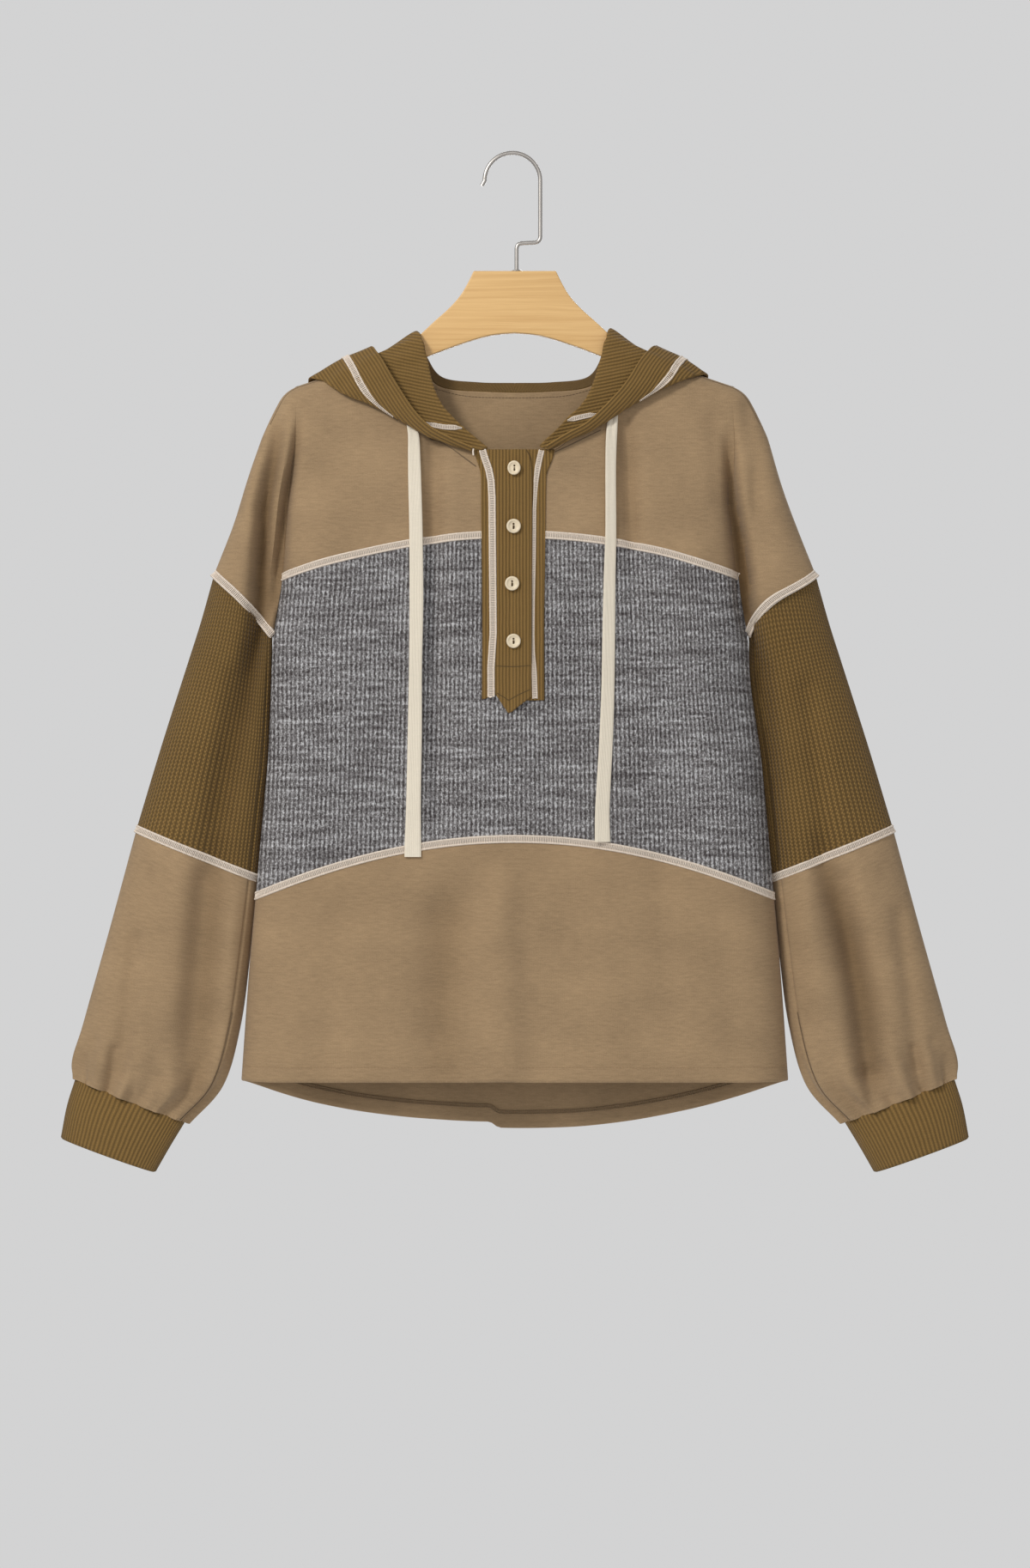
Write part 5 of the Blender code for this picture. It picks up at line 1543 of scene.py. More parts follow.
def make_fine_stitches():
    x = np.linspace(-228.0, 228.0, 200)
    hem = [on_face(front_face, x, np.full_like(x, FRONT_HEM + HEM_STITCH), STITCH_LIFT)]
    plain_stitch("stitches_front_hem", hem, thread_taupe(), "taupe_jersey", thread=0.0004)
    share_line = np.linspace(-0.985, 0.985, 200)
    z = back_hem(share_line) + HEM_STITCH
    hem = [on_face(back_face, share_line * side_line(z), z, STITCH_LIFT)]
    plain_stitch("stitches_back_hem", hem, thread_taupe(), "taupe_jersey", thread=0.0004)
    inner = on_face(back_face, share_line * side_line(z), z + 1.0, -CLOTH - 0.6)
    serge = SeamPath(inner.points, -inner.out)
    seam = settings().seam
    stitched("serging_back_hem", [serge], coverstitch_tree(), {
        "Width": 0.0034, "Pitch": seam.pitch * 1.15, "Thread": 0.0006, "Seed": seam.seed,
    }, thread_taupe_mid(), "taupe_jersey")
    tape_line = laid_on(surface_tree(["back_panel"]), [(-66.0, -196.0), (-40.0, -202.0), (0.0, -203.2), (40.0, -202.0),
                                                      (66.0, -196.0)], 0.15, count=120)
    plain_stitch("stitches_neck", [tape_line], thread_taupe_dark(), "taupe_jersey", thread=0.0005)


def on_strip(corners, lift):
    """A line over the upper strip through places seen from the front."""
    line = even(smooth_path(corners, 10), 40)
    base = on_face(front_face, line[:, 0], line[:, 1], 0.0)
    return base.points + base.out * (over_lift(line[:, 0]) + STRIP_CLOTH + lift)[:, None]


def make_seam_lines():
    """Dark lines where one layer is pressed on another, on the placket, underarms and shoulders; and painted shadow
    along the upper strip's right edge and along the hood seam's pressed ridge.
    """
    placket = [
        on_strip([(-15.6, -430.8), (0.0, -431.4), (13.0, -430.6)], -0.1),
        on_strip([(-15.0, -453.5), (-9.0, -457.0), (-5.2, -459.6)], -0.1),
        on_strip([(-5.2, -459.6), (3.0, -455.0), (12.4, -450.6)], -0.1),
    ]
    # painted shadow: a dark thread along the upper strip's right edge, where its shadow falls on the strip below
    z = np.linspace(-251.0, -429.0, 60)
    edge = np.interp(-z, [-row.z for row in OVER_STRIP], [row.right for row in OVER_STRIP]) + 0.5
    base = on_face(front_face, edge, z, 0.0)
    placket.append(base.points + base.out * (over_lift(edge) + STRIP_CLOTH - 0.9)[:, None])
    make_threads("placket_creases", placket, 0.4, thread_dark(), "olive_rib")
    underarm = []
    for sign in (-1, 1):
        turn = np.array([UNDERARM_TURN])
        underarm.append([ring(section_at(SLEEVE_LOWER, at), sign, turn, at, gathers, puckers, 0.55)[0]
                         for at in np.linspace(0.45, 0.996, 30)])
    make_threads("underarm_seams", underarm, 0.34, thread_taupe_dark(), "taupe_jersey")
    # painted shadow along the real ridge that the hood seam's allowance presses up under the yokes
    yokes = surface_tree(["yoke_left", "yoke_right"])
    pressed = [
        laid_on(yokes, [(-72.0, -239.6), (-59.0, -244.4), (-44.0, -255.0), (-32.5, -263.5)], -0.35).points,
        laid_on(yokes, [(72.0, -233.0), (58.5, -239.4), (46.0, -245.6), (33.5, -251.4)], -0.45).points,
    ]
    make_threads("pressed_seams", pressed, 0.75, thread_taupe_dark(), "taupe_jersey")
    x = np.linspace(150.0, 207.0, 60)
    z = np.interp(x, SHOULDER_LINE[:, 0], SHOULDER_LINE[:, 1])
    x, z = x - 1.6 * ease(184.0, 200.0, x), z - 1.9
    shoulder = [on_face(front_face, x, z, 0.05).points, on_face(front_face, -x, z, -0.15).points]
    make_threads("shoulder_seams", shoulder, 0.45, thread_taupe_dark(), "taupe_jersey")
    ends = [
        [(-34.6, -25.6, -249.2), (-34.9, -25.9, -251.5), (-34.6, -25.6, -254.6)],
        [(-22.3, -32.6, -455.6), (-20.6, -33.2, -457.0), (-18.9, -32.8, -456.2)],
        [(15.4, -31.6, -456.4), (17.0, -32.4, -457.3), (18.6, -31.8, -456.0)],
    ]
    make_threads("thread_ends", ends, 0.7, thread_pale(), "cream_cord")


# ---------------------------------------------------------------- hanger
WOOD_THICK = 9.0
WOOD_ROUND = 3.6
BLOCK_TOP = -98.0
BLOCK_SIDE = rows_of(Outline,
    (34.6, -98), (40, -109), (46.5, -119.5), (56, -130), (67, -139.8), (79, -151),
)
ARM_UNDER = rows_of(Outline,
    (181, -211), (147, -199), (110, -185), (74, -170), (43, -158.5), (20, -152), (0, -150),
)
ARM_END = rows_of(Outline,
    (186.5, -201.5), (187.5, -207), (185.5, -211.5),
)
ARM_TOP = (82.0, 185.0)
SEAT = CLOTH + 0.5
WIRE = 3.5
HOOK_RADIUS = 23.4
HOOK_TIP = (-25.8, -26.0)
STEM_X = 3.5
HOOK_CORNERS = ((HOOK_RADIUS, -73.5), (STEM_X, -74.5))
CORNER_ROUND = 5.0
COLLAR_PROFILE = ((0.0, 0.0), (4.6, 0.0), (4.6, 0.5), (3.6, 1.2), (2.2, 1.5), (0.0, 1.5))


def half_outline():
    side = smooth_path([(p.x, p.z) for p in BLOCK_SIDE], 8)
    top = smooth_path([(p.x, p.z) for p in SHOULDER if p.x < ARM_TOP[1]], 8)
    step = unit(np.diff(top, axis=0))
    lowered = top[:-1] + np.stack([step[:, 1], -step[:, 0]], axis=1) * SEAT
    end = smooth_path([lowered[-1], *[(p.x, p.z) for p in ARM_END]], 5)[1:]
    under = smooth_path([(p.x, p.z) for p in ARM_UNDER], 8)
    return np.concatenate([side, lowered[lowered[:, 0] > ARM_TOP[0]], end, under])


def make_hanger():
    right = half_outline()
    left = right[:-1][::-1] * np.array([-1.0, 1.0])
    outline = np.concatenate([right, left])
    count = len(outline)
    vertices = [(x, y, z) for y in (-WOOD_THICK / 2, WOOD_THICK / 2) for x, z in outline]
    faces = [list(range(count - 1, -1, -1)), list(range(count, 2 * count))]
    faces += [[k, (k + 1) % count, (k + 1) % count + count, k + count] for k in range(count)]
    spots = [[(vertices[n][0], vertices[n][2]) for n in face] for face in faces]
    body = make_mesh("hanger_wood", np.array(vertices), faces, wood(), "pale_wood", spots)
    bevel = body.modifiers.new("rounding", "BEVEL")
    bevel.width = WOOD_ROUND * MM
    bevel.segments = 4
    bevel.limit_method = "ANGLE"
    bevel.angle_limit = math.radians(60.0)
    bake_modifiers(body)
    body.data.shade_smooth()
    body.data.set_sharp_from_angle(angle=math.radians(60.0))
    finish_piece(body, "hanger_body")
    middle = WIRE / 2 - HOOK_RADIUS
    turn = math.pi * (1.0 - np.arange(1, 41) / 40)
    bow = np.stack([HOOK_RADIUS * np.cos(turn), middle + HOOK_RADIUS * np.sin(turn)], axis=1)
    first, second = HOOK_CORNERS
    stem_end = (STEM_X, BLOCK_TOP + SEAM)
    path = np.concatenate([
        [HOOK_TIP, (-HOOK_RADIUS, middle)], bow, rounded_corner((HOOK_RADIUS, middle), first, second),
        rounded_corner(first, second, stem_end), [stem_end],
    ])
    wire = round_curve("hanger_wire", [[(x, 0.0, z) for x, z in path]], WIRE / 2, steel(), "hook_steel", fineness=5)
    wire.data.set_sharp_from_angle(angle=math.radians(50.0))
    finish_piece(wire, "hanger_hook")
    points, collar_faces = lathe(COLLAR_PROFILE[::-1], 32)
    turned = np.stack([points[:, 0] + STEM_X, points[:, 2], -points[:, 1] + BLOCK_TOP], axis=1)
    collar = make_mesh("hook_collar", turned, [list(f) for f in collar_faces], steel(), "hook_steel",
                       [[(0.0, 0.0)] * len(f) for f in collar_faces], place_x=0.0, sharp=50.0)
    finish_piece(collar)


def rounded_corner(before, corner, after, steps=8):
    before, corner, after = (np.array(p, float) for p in (before, corner, after))
    start = corner + (before - corner) / np.linalg.norm(before - corner) * CORNER_ROUND
    end = corner + (after - corner) / np.linalg.norm(after - corner) * CORNER_ROUND
    t = np.linspace(0.0, 1.0, steps + 1)[:, None]
    return (start * (1 - t) + corner * t) * (1 - t) + (corner * (1 - t) + end * t) * t


# ---------------------------------------------------------------- materials
def shader_group(name, inputs, outputs, wire):
    """The group of this name. wire makes its nodes the first time, and returns what it puts out."""
    tree = bpy.data.node_groups.get(name)
    if tree:
        return tree
    tree = bpy.data.node_groups.new(name, "ShaderNodeTree")
    for label, value in inputs.items():
        kind = "Vector" if value is None else "Color" if isinstance(value, tuple) else "Float"
        socket = tree.interface.new_socket(label, in_out="INPUT", socket_type="NodeSocket" + kind)
        if value is not None:
            socket.default_value = value
    for label, kind in outputs.items():
        tree.interface.new_socket(label, in_out="OUTPUT", socket_type="NodeSocket" + kind)
    results = wire(tree, tree.nodes.new("NodeGroupInput").outputs)
    end = tree.nodes.new("NodeGroupOutput")
    for label, result in results.items():
        tree.links.new(result, end.inputs[label])
    return tree


def scaled_noise(tree, vector, scale, detail=2.0, roughness=0.5):
    """Noise in millimetres: scale is the size of a patch along each axis."""
    shares = tuple(1.0 / (s * MM) for s in scale)
    placed = node(tree, "ShaderNodeVectorMath", {0: vector, 1: shares}, operation="MULTIPLY").outputs["Vector"]
    return node(tree, "ShaderNodeTexNoise", {
        "Vector": placed, "Scale": 1.0, "Detail": detail, "Roughness": roughness,
    }).outputs["Fac"]


def wave(tree, value, pitch):
    """0 to 1 and back with each pitch."""
    turn = calc(tree, "MULTIPLY", calc(tree, "DIVIDE", value, pitch), 2.0 * math.pi)
    return calc(tree, "MULTIPLY_ADD", calc(tree, "COSINE", turn), 0.5, 0.5)


def swing(tree, value, gain, base, middle=0.5):
    """How far a value is off its middle, times a gain, on top of a base."""
    return calc(tree, "MULTIPLY_ADD", calc(tree, "SUBTRACT", value, middle), gain, base)


def blend(tree, factor, low, high):
    return node(tree, "ShaderNodeMix", {0: factor, 6: low, 7: high}, data_type="RGBA").outputs[2]


def knit_group():
    """Columns and rows of knitting: relief, and a mask that is 1 on the ribs."""
    def wire(tree, given):
        drift = scaled_noise(tree, given["Vector"], (9.0, 14.0, 9.0), detail=1.0)
        parts = node(tree, "ShaderNodeSeparateXYZ", {"Vector": given["Vector"]}).outputs
        moved = swing(tree, drift, 0.0007, parts["X"])
        rib = wave(tree, moved, given["Rib"])
        index = calc(tree, "FLOOR", calc(tree, "DIVIDE", moved, given["Rib"]))
        half_row = calc(tree, "MULTIPLY", given["Row"], 0.5)
        stagger = calc(tree, "MULTIPLY", calc(tree, "MODULO", index, 2.0), half_row)
        row = wave(tree, calc(tree, "ADD", parts["Y"], stagger), given["Row"])
        rows = swing(tree, row, given["Row Share"], 1.0, middle=1.0)
        ridge = calc(tree, "MULTIPLY", calc(tree, "POWER", rib, 0.75), rows)
        fuzz = scaled_noise(tree, given["Vector"], (0.5, 0.7, 0.5), roughness=0.65)
        return {"Height": swing(tree, fuzz, given["Fuzz"], ridge), "Ridge": ridge}

    inputs = {"Vector": None, "Rib": 0.002, "Row": 0.0015, "Row Share": 0.4, "Fuzz": 0.2}
    return shader_group("knit_relief", inputs, {"Height": "Float", "Ridge": "Float"}, wire)


def heather_group():
    """A dyed knit's slight unevenness: crosswise streaks, patches and fine grain; with painted shade darkening the
    grooves between ribs.
    """
    def wire(tree, given):
        streak = scaled_noise(tree, given["Vector"], (9.0, 1.9, 9.0), detail=4.0, roughness=0.68)
        patch = scaled_noise(tree, given["Vector"], (60.0, 40.0, 60.0), detail=1.0)
        grain = scaled_noise(tree, given["Vector"], (0.7, 0.9, 0.7), roughness=0.7)
        light = swing(tree, streak, given["Streak"], 1.0)
        light = swing(tree, patch, calc(tree, "MULTIPLY", given["Streak"], 0.6), light)
        light = swing(tree, grain, given["Grain"], light)
        # painted shade: the colour darkens in the grooves between ribs
        deep = calc(tree, "MULTIPLY", calc(tree, "SUBTRACT", 1.0, given["Ridge"]), given["Groove"])
        return {"Colour": scaled(tree, given["Colour"], calc(tree, "SUBTRACT", light, deep))}

    inputs = {"Vector": None, "Colour": (0.5, 0.5, 0.5, 1.0), "Streak": 0.1, "Grain": 0.15, "Ridge": 1.0, "Groove": 0.2}
    return shader_group("heather", inputs, {"Colour": "Color"}, wire)


def marl_group():
    """Mixed yarn: pale flecks along the ribs and darker crosswise streaks where the yarn's colour changes; painted
    shade in the grooves between ribs.
    """
    def wire(tree, given):
        vector = given["Vector"]
        parts = node(tree, "ShaderNodeSeparateXYZ", {"Vector": vector}).outputs
        column = calc(tree, "FLOOR", calc(tree, "DIVIDE", parts["X"], given["Rib"]))
        lower = calc(tree, "MULTIPLY_ADD", column, 0.0237, parts["Y"])
        shifted = node(tree, "ShaderNodeCombineXYZ", {"X": parts["X"], "Y": lower}).outputs["Vector"]
        fleck = scaled_noise(tree, shifted, (1.7, 3.0, 1.7), detail=3.0, roughness=0.7)
        speck = scaled_noise(tree, vector, (0.8, 1.0, 0.8), detail=1.0)
        streak = scaled_noise(tree, vector, (34.0, 2.6, 34.0), detail=3.0, roughness=0.55)
        band = scaled_noise(tree, vector, (60.0, 8.0, 60.0))
        mix = swing(tree, fleck, 2.3, 0.62)
        for part, gain in ((speck, 0.8), (streak, 0.75), (band, 0.6)):
            mix = swing(tree, part, gain, mix)
        # painted shade and highlight: the ribs go towards the paler yarns and the grooves between them towards the
        # darker ones
        mix = swing(tree, given["Ridge"], 0.48, mix, middle=0.55)
        spread = node(tree, "ShaderNodeMapRange", {"Value": mix, "From Min": 0.2, "From Max": 1.15}).outputs["Result"]
        below = calc(tree, "MINIMUM", calc(tree, "MULTIPLY", spread, 2.0), 1.0)
        above = calc(tree, "MAXIMUM", calc(tree, "MULTIPLY_ADD", spread, 2.0, -1.0), 0.0)
        return {"Colour": blend(tree, above, blend(tree, below, given["Dark"], given["Middle"]), given["Light"])}

    inputs = {"Vector": None, "Light": (0.5, 0.5, 0.5, 1.0), "Middle": (0.2, 0.2, 0.2, 1.0),
              "Dark": (0.05, 0.05, 0.05, 1.0), "Rib": 0.0028, "Ridge": 1.0}
    return shader_group("marl_yarn", inputs, {"Colour": "Color"}, wire)


def build_once(name, wire):
    """The material of this name. wire makes its nodes the first time."""
    made = bpy.data.materials.get(name)
    if made is None:
        made = bpy.data.materials.new(name)
        made.use_nodes = True
        wire(made.node_tree, made.node_tree.nodes["Principled BSDF"])
    return made


def flat_uv(tree):
    return node(tree, "ShaderNodeUVMap", uv_map="UVMap").outputs["UV"]


def object_place(tree):
    return node(tree, "ShaderNodeTexCoord").outputs["Object"]


def set_colour(tree, shader, tint, light):
    tree.links.new(scaled(tree, tint, light), shader.inputs["Base Color"])


def place_group(tree, group, values):
    return node(tree, "ShaderNodeGroup", values, node_tree=group).outputs


def add_bump(tree, shader, height, distance, strength=1.0):
    bump = node(tree, "ShaderNodeBump", {"Height": height, "Distance": distance, "Strength": strength})
    tree.links.new(bump.outputs["Normal"], shader.inputs["Normal"])


def cloth_sheen(shader, roughness, sheen):
    shader.inputs["Roughness"].default_value = roughness
    shader.inputs["Sheen Weight"].default_value = sheen
    shader.inputs["Sheen Roughness"].default_value = 0.5
    shader.inputs["Specular IOR Level"].default_value = 0.25


def in_folds(tree, shade):
    """Painted shade: the colour darkens towards the bottom of the long folds, by the mesh's own mask."""
    mask = node(tree, "ShaderNodeAttribute", attribute_name="fold", attribute_type="GEOMETRY").outputs["Fac"]
    dark = node(tree, "ShaderNodeVectorMath", {0: shade, 1: PAINTED_FOLD_SHADE}, operation="MULTIPLY").outputs["Vector"]
    amount = calc(tree, "POWER", mask, 1.3)
    return node(tree, "ShaderNodeMix", {0: amount, 4: shade, 5: dark}, data_type="VECTOR").outputs[1]


KNIT_ROUGHNESS = 0.92
# groove: how far painted shade darkens the colour between ribs
Knit = namedtuple("Knit", "row row_share fuzz streak grain groove relief sheen")
JERSEY = Knit(0.0009, 0.5, 2.2, 0.60, 0.60, 0.02, 0.00005, 0.12)
WAFFLE = Knit(0.0033, 0.85, 0.3, 0.16, 0.24, 0.7, 0.0010, 0.08)
FINE_RIB = Knit(0.0021, 0.3, 0.3, 0.16, 0.24, 0.5, 0.0008, 0.08)
CORD_KNIT = Knit(0.0012, 0.6, 0.6, 0.10, 0.10, 0.05, 0.0003, 0.1)
WAFFLE_LIGHT = 1.22         # the waffle is this much lighter than the rib


def lighter(tint, factor):
    return tuple(factor * c for c in tint)


def knit_material(name, tint, rib, knit, folds=True, roughness=KNIT_ROUGHNESS):
    def wire(tree, shader):
        uv = flat_uv(tree)
        relief = place_group(tree, knit_group(), {
            "Vector": uv, "Rib": rib, "Row": knit.row, "Row Share": knit.row_share, "Fuzz": knit.fuzz,
        })
        dyed = place_group(tree, heather_group(), {
            "Vector": uv, "Colour": (*tint, 1.0), "Streak": knit.streak, "Grain": knit.grain,
            "Ridge": relief["Ridge"], "Groove": knit.groove,
        })["Colour"]
        # painted shade at the bottom of the long folds, unless folds is False
        tree.links.new(in_folds(tree, dyed) if folds else dyed, shader.inputs["Base Color"])
        add_bump(tree, shader, relief["Height"], knit.relief)
        cloth_sheen(shader, roughness, knit.sheen)

    return build_once(name, wire)


def jersey():
    knit = settings().knit
    return knit_material("taupe_brushed_jersey", knit.taupe, knit.wale, JERSEY)


def waffle():
    knit = settings().knit
    return knit_material("olive_waffle_knit", lighter(knit.olive, WAFFLE_LIGHT), knit.waffle_rib, WAFFLE)


def fine_rib():
    knit = settings().knit
    return knit_material("olive_fine_rib", knit.olive, knit.fine_rib, FINE_RIB)


def marl():
    def wire(tree, shader):
        knit, uv = settings().knit, flat_uv(tree)
        relief = place_group(tree, knit_group(), {
            "Vector": uv, "Rib": knit.marl_rib, "Row": 0.0024, "Row Share": 0.22, "Fuzz": 0.5,
        })
        yarn = place_group(tree, marl_group(), {
            "Vector": uv, "Light": (*knit.marl_light, 1.0), "Middle": (*knit.marl_middle, 1.0),
            "Dark": (*knit.marl_dark, 1.0), "Rib": knit.marl_rib, "Ridge": relief["Ridge"],
        })
        tree.links.new(yarn["Colour"], shader.inputs["Base Color"])
        add_bump(tree, shader, relief["Height"], 0.0007)
        cloth_sheen(shader, KNIT_ROUGHNESS, 0.05)

    return build_once("grey_marl_knit", wire)


THREAD_GRAIN = (0.8, 0.8, 0.8)


def thread_material(name, tint, roughness=0.85):
    def wire(tree, shader):
        grain = scaled_noise(tree, object_place(tree), THREAD_GRAIN)
        set_colour(tree, shader, tint, swing(tree, grain, 0.5, 1.0))
        shader.inputs["Roughness"].default_value = roughness

    return build_once(name, wire)


def thread_pale():
    return thread_material("thread_pale", tuple(settings().seam.thread), 0.75)


def thread_bed():
    """The bed under a coverstitch, darker in the middle where the cloth shows between the rungs."""
    def wire(tree, shader):
        across = calc(tree, "ABSOLUTE", node(tree, "ShaderNodeSeparateXYZ", {"Vector": flat_uv(tree)}).outputs["X"])
        edge = node(tree, "ShaderNodeMapRange", {
            "Value": across, "From Min": 0.16, "From Max": 0.26, "To Min": 0.46, "To Max": 0.92,
        }).outputs["Result"]
        grain = scaled_noise(tree, object_place(tree), THREAD_GRAIN)
        light = calc(tree, "MULTIPLY", edge, calc(tree, "ADD", grain, 0.5))
        set_colour(tree, shader, tuple(settings().seam.thread), light)
        shader.inputs["Roughness"].default_value = 0.9

    return build_once("thread_bed", wire)


def thread_taupe():
    return thread_material("thread_taupe", lighter(settings().knit.taupe, 1.25))


def thread_taupe_mid():
    return thread_material("thread_taupe_mid", lighter(settings().knit.taupe, 0.85))


def thread_taupe_dark():
    return thread_material("thread_taupe_dark", lighter(settings().knit.taupe, 0.5))


def thread_dark():
    return thread_material("thread_olive", lighter(settings().knit.olive, 0.3))


def cord_cotton():
    return knit_material("cream_cord_cotton", settings().trim.cord, 0.0011, CORD_KNIT, folds=False, roughness=0.85)


def horn():
    def wire(tree, shader):
        place = object_place(tree)
        cloud = scaled_noise(tree, place, (3.0, 3.0, 5.0), detail=4.0, roughness=0.65)
        speck = scaled_noise(tree, place, (0.7, 0.7, 0.7))
        light = swing(tree, speck, 0.12, swing(tree, cloud, 0.55, 1.0))
        set_colour(tree, shader, tuple(settings().trim.button), light)
        tree.links.new(calc(tree, "MULTIPLY_ADD", speck, 0.2, 0.28), shader.inputs["Roughness"])

    return build_once("button_horn", wire)


def wood():
    def wire(tree, shader):
        trim, place = settings().trim, object_place(tree)
        flow = scaled_noise(tree, place, (160.0, 20.0, 26.0))
        parts = node(tree, "ShaderNodeSeparateXYZ", {"Vector": place}).outputs
        bent = calc(tree, "MULTIPLY_ADD", flow, 0.010, parts["Z"])
        moved = node(tree, "ShaderNodeCombineXYZ", {"X": parts["X"], "Y": parts["Y"], "Z": bent}).outputs["Vector"]
        grain = scaled_noise(tree, moved, (140.0, 4.0, 2.6), detail=4.0, roughness=0.6)
        fine = scaled_noise(tree, moved, (30.0, 0.7, 0.5))
        mix = node(tree, "ShaderNodeMapRange", {
            "Value": calc(tree, "MULTIPLY_ADD", fine, 0.25, grain), "From Min": 0.42, "From Max": 0.88,
        }).outputs["Result"]
        tree.links.new(blend(tree, mix, (*trim.wood_dark, 1.0), (*trim.wood, 1.0)), shader.inputs["Base Color"])
        tree.links.new(calc(tree, "MULTIPLY_ADD", fine, -0.15, 0.5), shader.inputs["Roughness"])
        add_bump(tree, shader, fine, 0.00006)
        shader.inputs["Coat Weight"].default_value = 0.25
        shader.inputs["Coat Roughness"].default_value = 0.35

    return build_once("hanger_beech", wire)


def steel():
    def wire(tree, shader):
        smear = scaled_noise(tree, object_place(tree), (6.0, 6.0, 14.0), detail=3.0)
        tree.links.new(calc(tree, "MULTIPLY_ADD", smear, 0.18, 0.26), shader.inputs["Roughness"])
        set_colour(tree, shader, tuple(settings().trim.steel), swing(tree, smear, 0.2, 1.0))
        shader.inputs["Metallic"].default_value = 1.0

    return build_once("hook_wire_steel", wire)


# ---------------------------------------------------------------- stage
VIEW_CENTRE = (0.00216, 0.0, -0.5292)
CALIBRATED_Y = -0.012       # the depth at which the picture's scale holds


def make_camera():
    stage = settings().stage
    camera = bpy.data.cameras.new("camera")
    camera.sensor_fit = "VERTICAL"
    camera.sensor_height = 36.0
    camera.lens = camera.sensor_height * (stage.distance + CALIBRATED_Y) / stage.view_height
    holder = add_object("camera", camera)
    holder.location = (VIEW_CENTRE[0], -stage.distance, VIEW_CENTRE[2])
    holder.rotation_euler = (math.pi / 2, 0.0, 0.0)
    bpy.context.scene.camera = holder


Light = namedtuple("Light", "name place target share size tint")
LIGHTS = (                  # share: of the main light's power
    Light("key", (-1.75, -2.25, 1.25), (0.1, 0.0, -0.45), 1.09, 0.7, (1.0, 0.985, 0.96)),
    Light("front_fill", (0.5, -2.8, 0.3), VIEW_CENTRE, 0.15, 1.5, (1.0, 1.0, 1.0)),
    Light("low_fill", (0.0, -1.0, -1.4), (0.0, 0.1, -0.75), 0.03, 0.8, (1.0, 1.0, 1.0)),
    Light("back_fill", (0.3, 2.2, 0.3), VIEW_CENTRE, 0.7, 1.6, (1.0, 1.0, 1.0)),
)
FLOOR_Z = -1.46
FLOOR_RADIUS = 1.1
FLOOR_TINT = (0.72, 0.72, 0.73)
FLOOR_CORNERS = 64


def area_light(light, power):
    data = bpy.data.lights.new(light.name, "AREA")
    data.energy, data.size, data.color = power, light.size, light.tint
    holder = add_object(light.name, data)
    holder.location = light.place
    holder.rotation_euler = (Vector(light.target) - Vector(light.place)).to_track_quat("-Z", "Y").to_euler()


def make_world():
    stage = settings().stage
    world = bpy.data.worlds.new("studio")
    bpy.context.scene.world = world
    world.use_nodes = True
    tree = world.node_tree
    seen = tree.nodes["Background"]
    seen.inputs["Color"].default_value = (*stage.backdrop, 1.0)
    fill = node(tree, "ShaderNodeBackground", {"Color": (0.985, 0.985, 1.0, 1.0), "Strength": stage.fill})
    path = node(tree, "ShaderNodeLightPath")
    mixed = node(tree, "ShaderNodeMixShader")
    tree.links.new(path.outputs["Is Camera Ray"], mixed.inputs[0])
    tree.links.new(fill.outputs[0], mixed.inputs[1])
    tree.links.new(seen.outputs[0], mixed.inputs[2])
    tree.links.new(mixed.outputs[0], tree.nodes["World Output"].inputs["Surface"])


def pale_floor():
    def wire(tree, shader):
        grain = scaled_noise(tree, object_place(tree), (90.0, 90.0, 90.0))
        set_colour(tree, shader, FLOOR_TINT, calc(tree, "MULTIPLY_ADD", grain, 0.06, 0.97))
        shader.inputs["Roughness"].default_value = 0.9

    return build_once("pale_floor", wire)


def make_floor():
    turn = [2.0 * math.pi * k / FLOOR_CORNERS for k in range(FLOOR_CORNERS)]
    points = [(FLOOR_RADIUS * math.cos(t), FLOOR_RADIUS * math.sin(t), FLOOR_Z) for t in turn]
    mesh = bpy.data.meshes.new("floor")
    mesh.from_pydata(points, [], [list(range(FLOOR_CORNERS))])
    mesh.materials.append(pale_floor())
    add_object("floor", mesh)


# ---------------------------------------------------------------- operators and panel
class Builder:
    """What the operators share: they build and report that they are done."""

    bl_options = {"REGISTER", "UNDO"}

    def execute(self, context):
        self.make()
        return {"FINISHED"}


class SWEATSHIRT_OT_stage(Builder, bpy.types.Operator):
    """Set up camera, lights, world and floor"""

    bl_idname = "sweatshirt.stage"
    bl_label = "Stage"

    def make(self):
        make_camera()
        make_world()
        make_floor()
        for light in LIGHTS:
            area_light(light, settings().stage.key * light.share)
        bpy.context.scene.view_settings.view_transform = "Standard"


class SWEATSHIRT_OT_drawcords(Builder, bpy.types.Operator):
    """Lay the two flat drawcords down the front"""

    bl_idname = "sweatshirt.drawcords"
    bl_label = "Drawcords"

    def make(self):
        make_drawcords()


class SWEATSHIRT_OT_front(Builder, bpy.types.Operator):
    """Make the front: both yokes, the marl panel and the lower panel"""

    bl_idname = "sweatshirt.front"
    bl_label = "Front panels"

    def make(self):
        front_yoke("yoke_left", -1, "front_yoke_left")
        front_yoke("yoke_right", 1, "front_yoke_right")
        front_middle()
        front_lower()


class SWEATSHIRT_OT_back(Builder, bpy.types.Operator):
    """Make the back with its drop shoulders"""

    bl_idname = "sweatshirt.back"
    bl_label = "Back"

    def make(self):
        back_panel()


class SWEATSHIRT_OT_sleeves(Builder, bpy.types.Operator):
    """Make the waffle and jersey parts of both sleeves"""

    bl_idname = "sweatshirt.sleeves"
    bl_label = "Sleeves"

    def make(self):
        make_sleeves()


class SWEATSHIRT_OT_cuffs(Builder, bpy.types.Operator):
    """Make the rib cuffs"""

    bl_idname = "sweatshirt.cuffs"
    bl_label = "Cuffs"

    def make(self):
        make_cuffs()


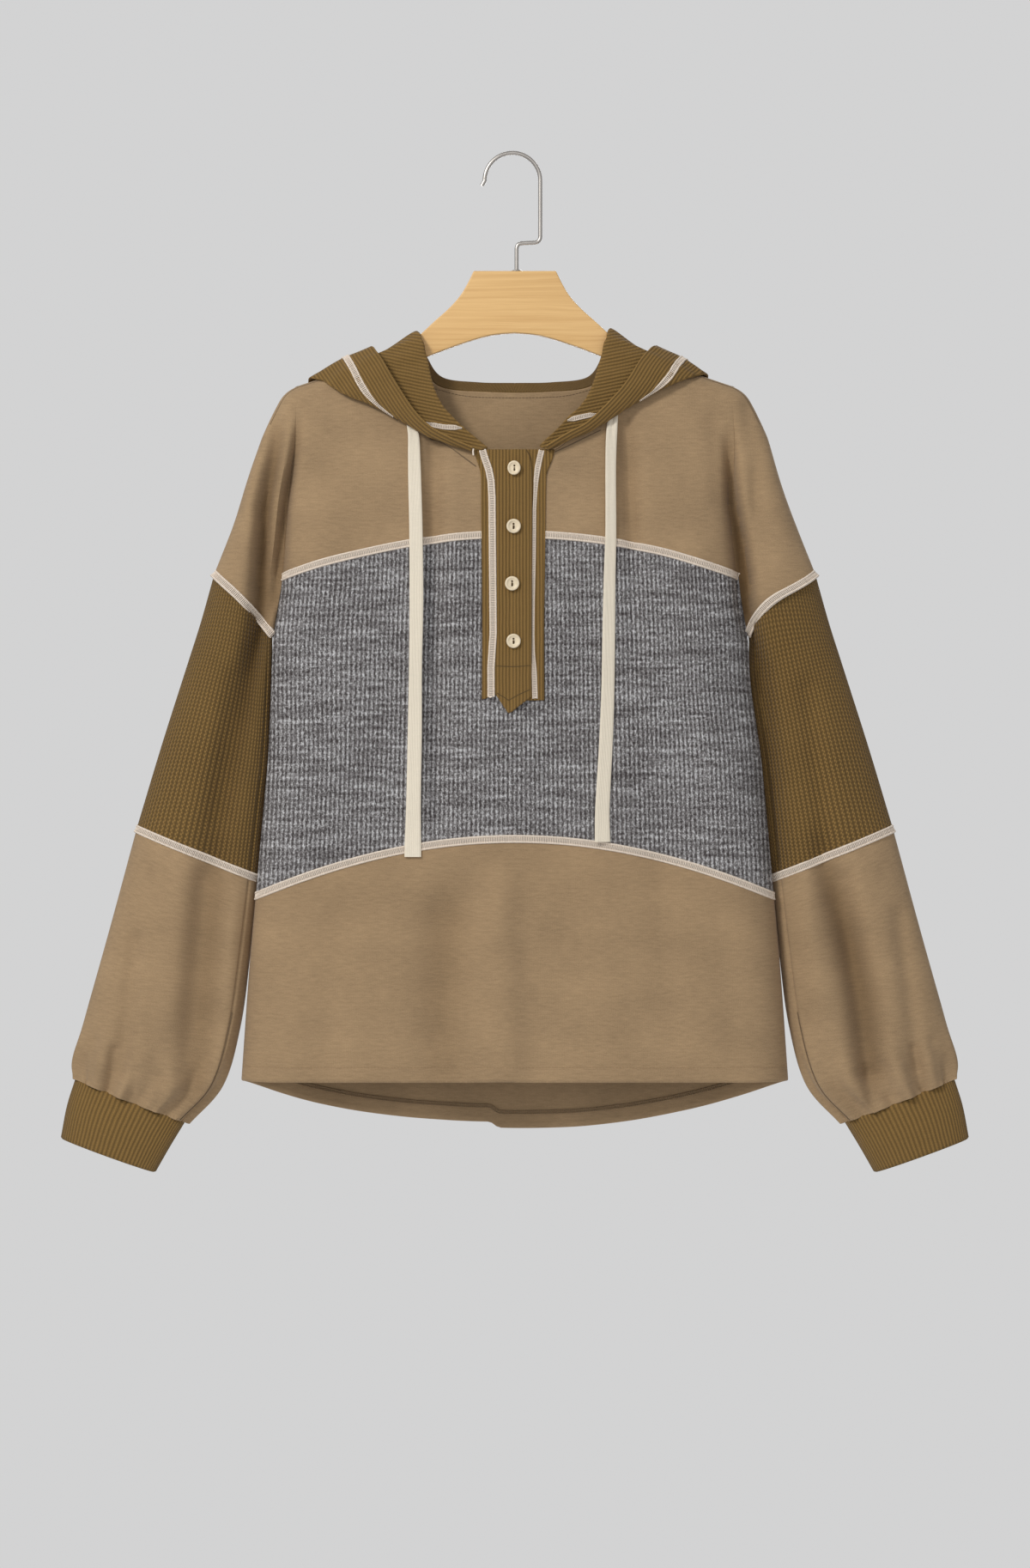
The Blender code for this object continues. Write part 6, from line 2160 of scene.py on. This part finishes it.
class SWEATSHIRT_OT_hood(Builder, bpy.types.Operator):
    """Make both halves of the hood, laid back over the shoulders"""

    bl_idname = "sweatshirt.hood"
    bl_label = "Hood"

    def make(self):
        make_hood()


class SWEATSHIRT_OT_placket(Builder, bpy.types.Operator):
    """Make the placket's two strips"""

    bl_idname = "sweatshirt.placket"
    bl_label = "Placket"

    def make(self):
        make_placket()


class SWEATSHIRT_OT_buttons(Builder, bpy.types.Operator):
    """Turn the buttons and sew them on"""

    bl_idname = "sweatshirt.buttons"
    bl_label = "Buttons"

    def make(self):
        make_buttons()


class SWEATSHIRT_OT_coverstitch(Builder, bpy.types.Operator):
    """Run the pale coverstitch along the seams"""

    bl_idname = "sweatshirt.coverstitch"
    bl_label = "Coverstitch"

    def make(self):
        make_coverstitch()


class SWEATSHIRT_OT_stitches(Builder, bpy.types.Operator):
    """Run the plain stitches along the hems and the neck"""

    bl_idname = "sweatshirt.stitches"
    bl_label = "Plain stitches"

    def make(self):
        make_fine_stitches()


class SWEATSHIRT_OT_seams(Builder, bpy.types.Operator):
    """Draw the dark lines of the pressed seams, and the painted shadow lines along the placket's edge and the hood
    seam's ridge
    """

    bl_idname = "sweatshirt.seams"
    bl_label = "Seam lines"

    def make(self):
        make_seam_lines()


class SWEATSHIRT_OT_hanger(Builder, bpy.types.Operator):
    """Make the wooden hanger and its wire hook"""

    bl_idname = "sweatshirt.hanger"
    bl_label = "Hanger"

    def make(self):
        make_hanger()


class SWEATSHIRT_PT_panel(bpy.types.Panel):
    """Lists the steps and their settings"""

    bl_label = "Sweatshirt"
    bl_idname = "SWEATSHIRT_PT_panel"
    bl_space_type = "VIEW_3D"
    bl_region_type = "UI"
    bl_category = "Sweatshirt"

    def draw(self, context):
        for operator in OPERATORS:
            self.layout.operator(operator.bl_idname)
        groups = context.scene.sweatshirt
        for group in (groups.knit, groups.seam, groups.trim, groups.stage):
            box = self.layout.box()
            box.label(text=type(group).__name__.removesuffix("Settings"))
            for name in group.__annotations__:
                box.prop(group, name)


OPERATORS = (
    SWEATSHIRT_OT_stage, SWEATSHIRT_OT_drawcords, SWEATSHIRT_OT_front, SWEATSHIRT_OT_back, SWEATSHIRT_OT_sleeves,
    SWEATSHIRT_OT_cuffs, SWEATSHIRT_OT_hood, SWEATSHIRT_OT_placket, SWEATSHIRT_OT_buttons, SWEATSHIRT_OT_coverstitch,
    SWEATSHIRT_OT_stitches, SWEATSHIRT_OT_seams, SWEATSHIRT_OT_hanger,
)
CLASSES = (KnitSettings, SeamSettings, TrimSettings, StageSettings, SweatshirtSettings, *OPERATORS, SWEATSHIRT_PT_panel)


def register():
    for each in CLASSES:
        bpy.utils.register_class(each)
    bpy.types.Scene.sweatshirt = PointerProperty(type=SweatshirtSettings)


def unregister():
    del bpy.types.Scene.sweatshirt
    for each in reversed(CLASSES):
        bpy.utils.unregister_class(each)


def main():
    register()
    for operator in OPERATORS:
        getattr(bpy.ops.sweatshirt, operator.bl_idname.split(".")[1])()


if __name__ == "__main__":
    main()
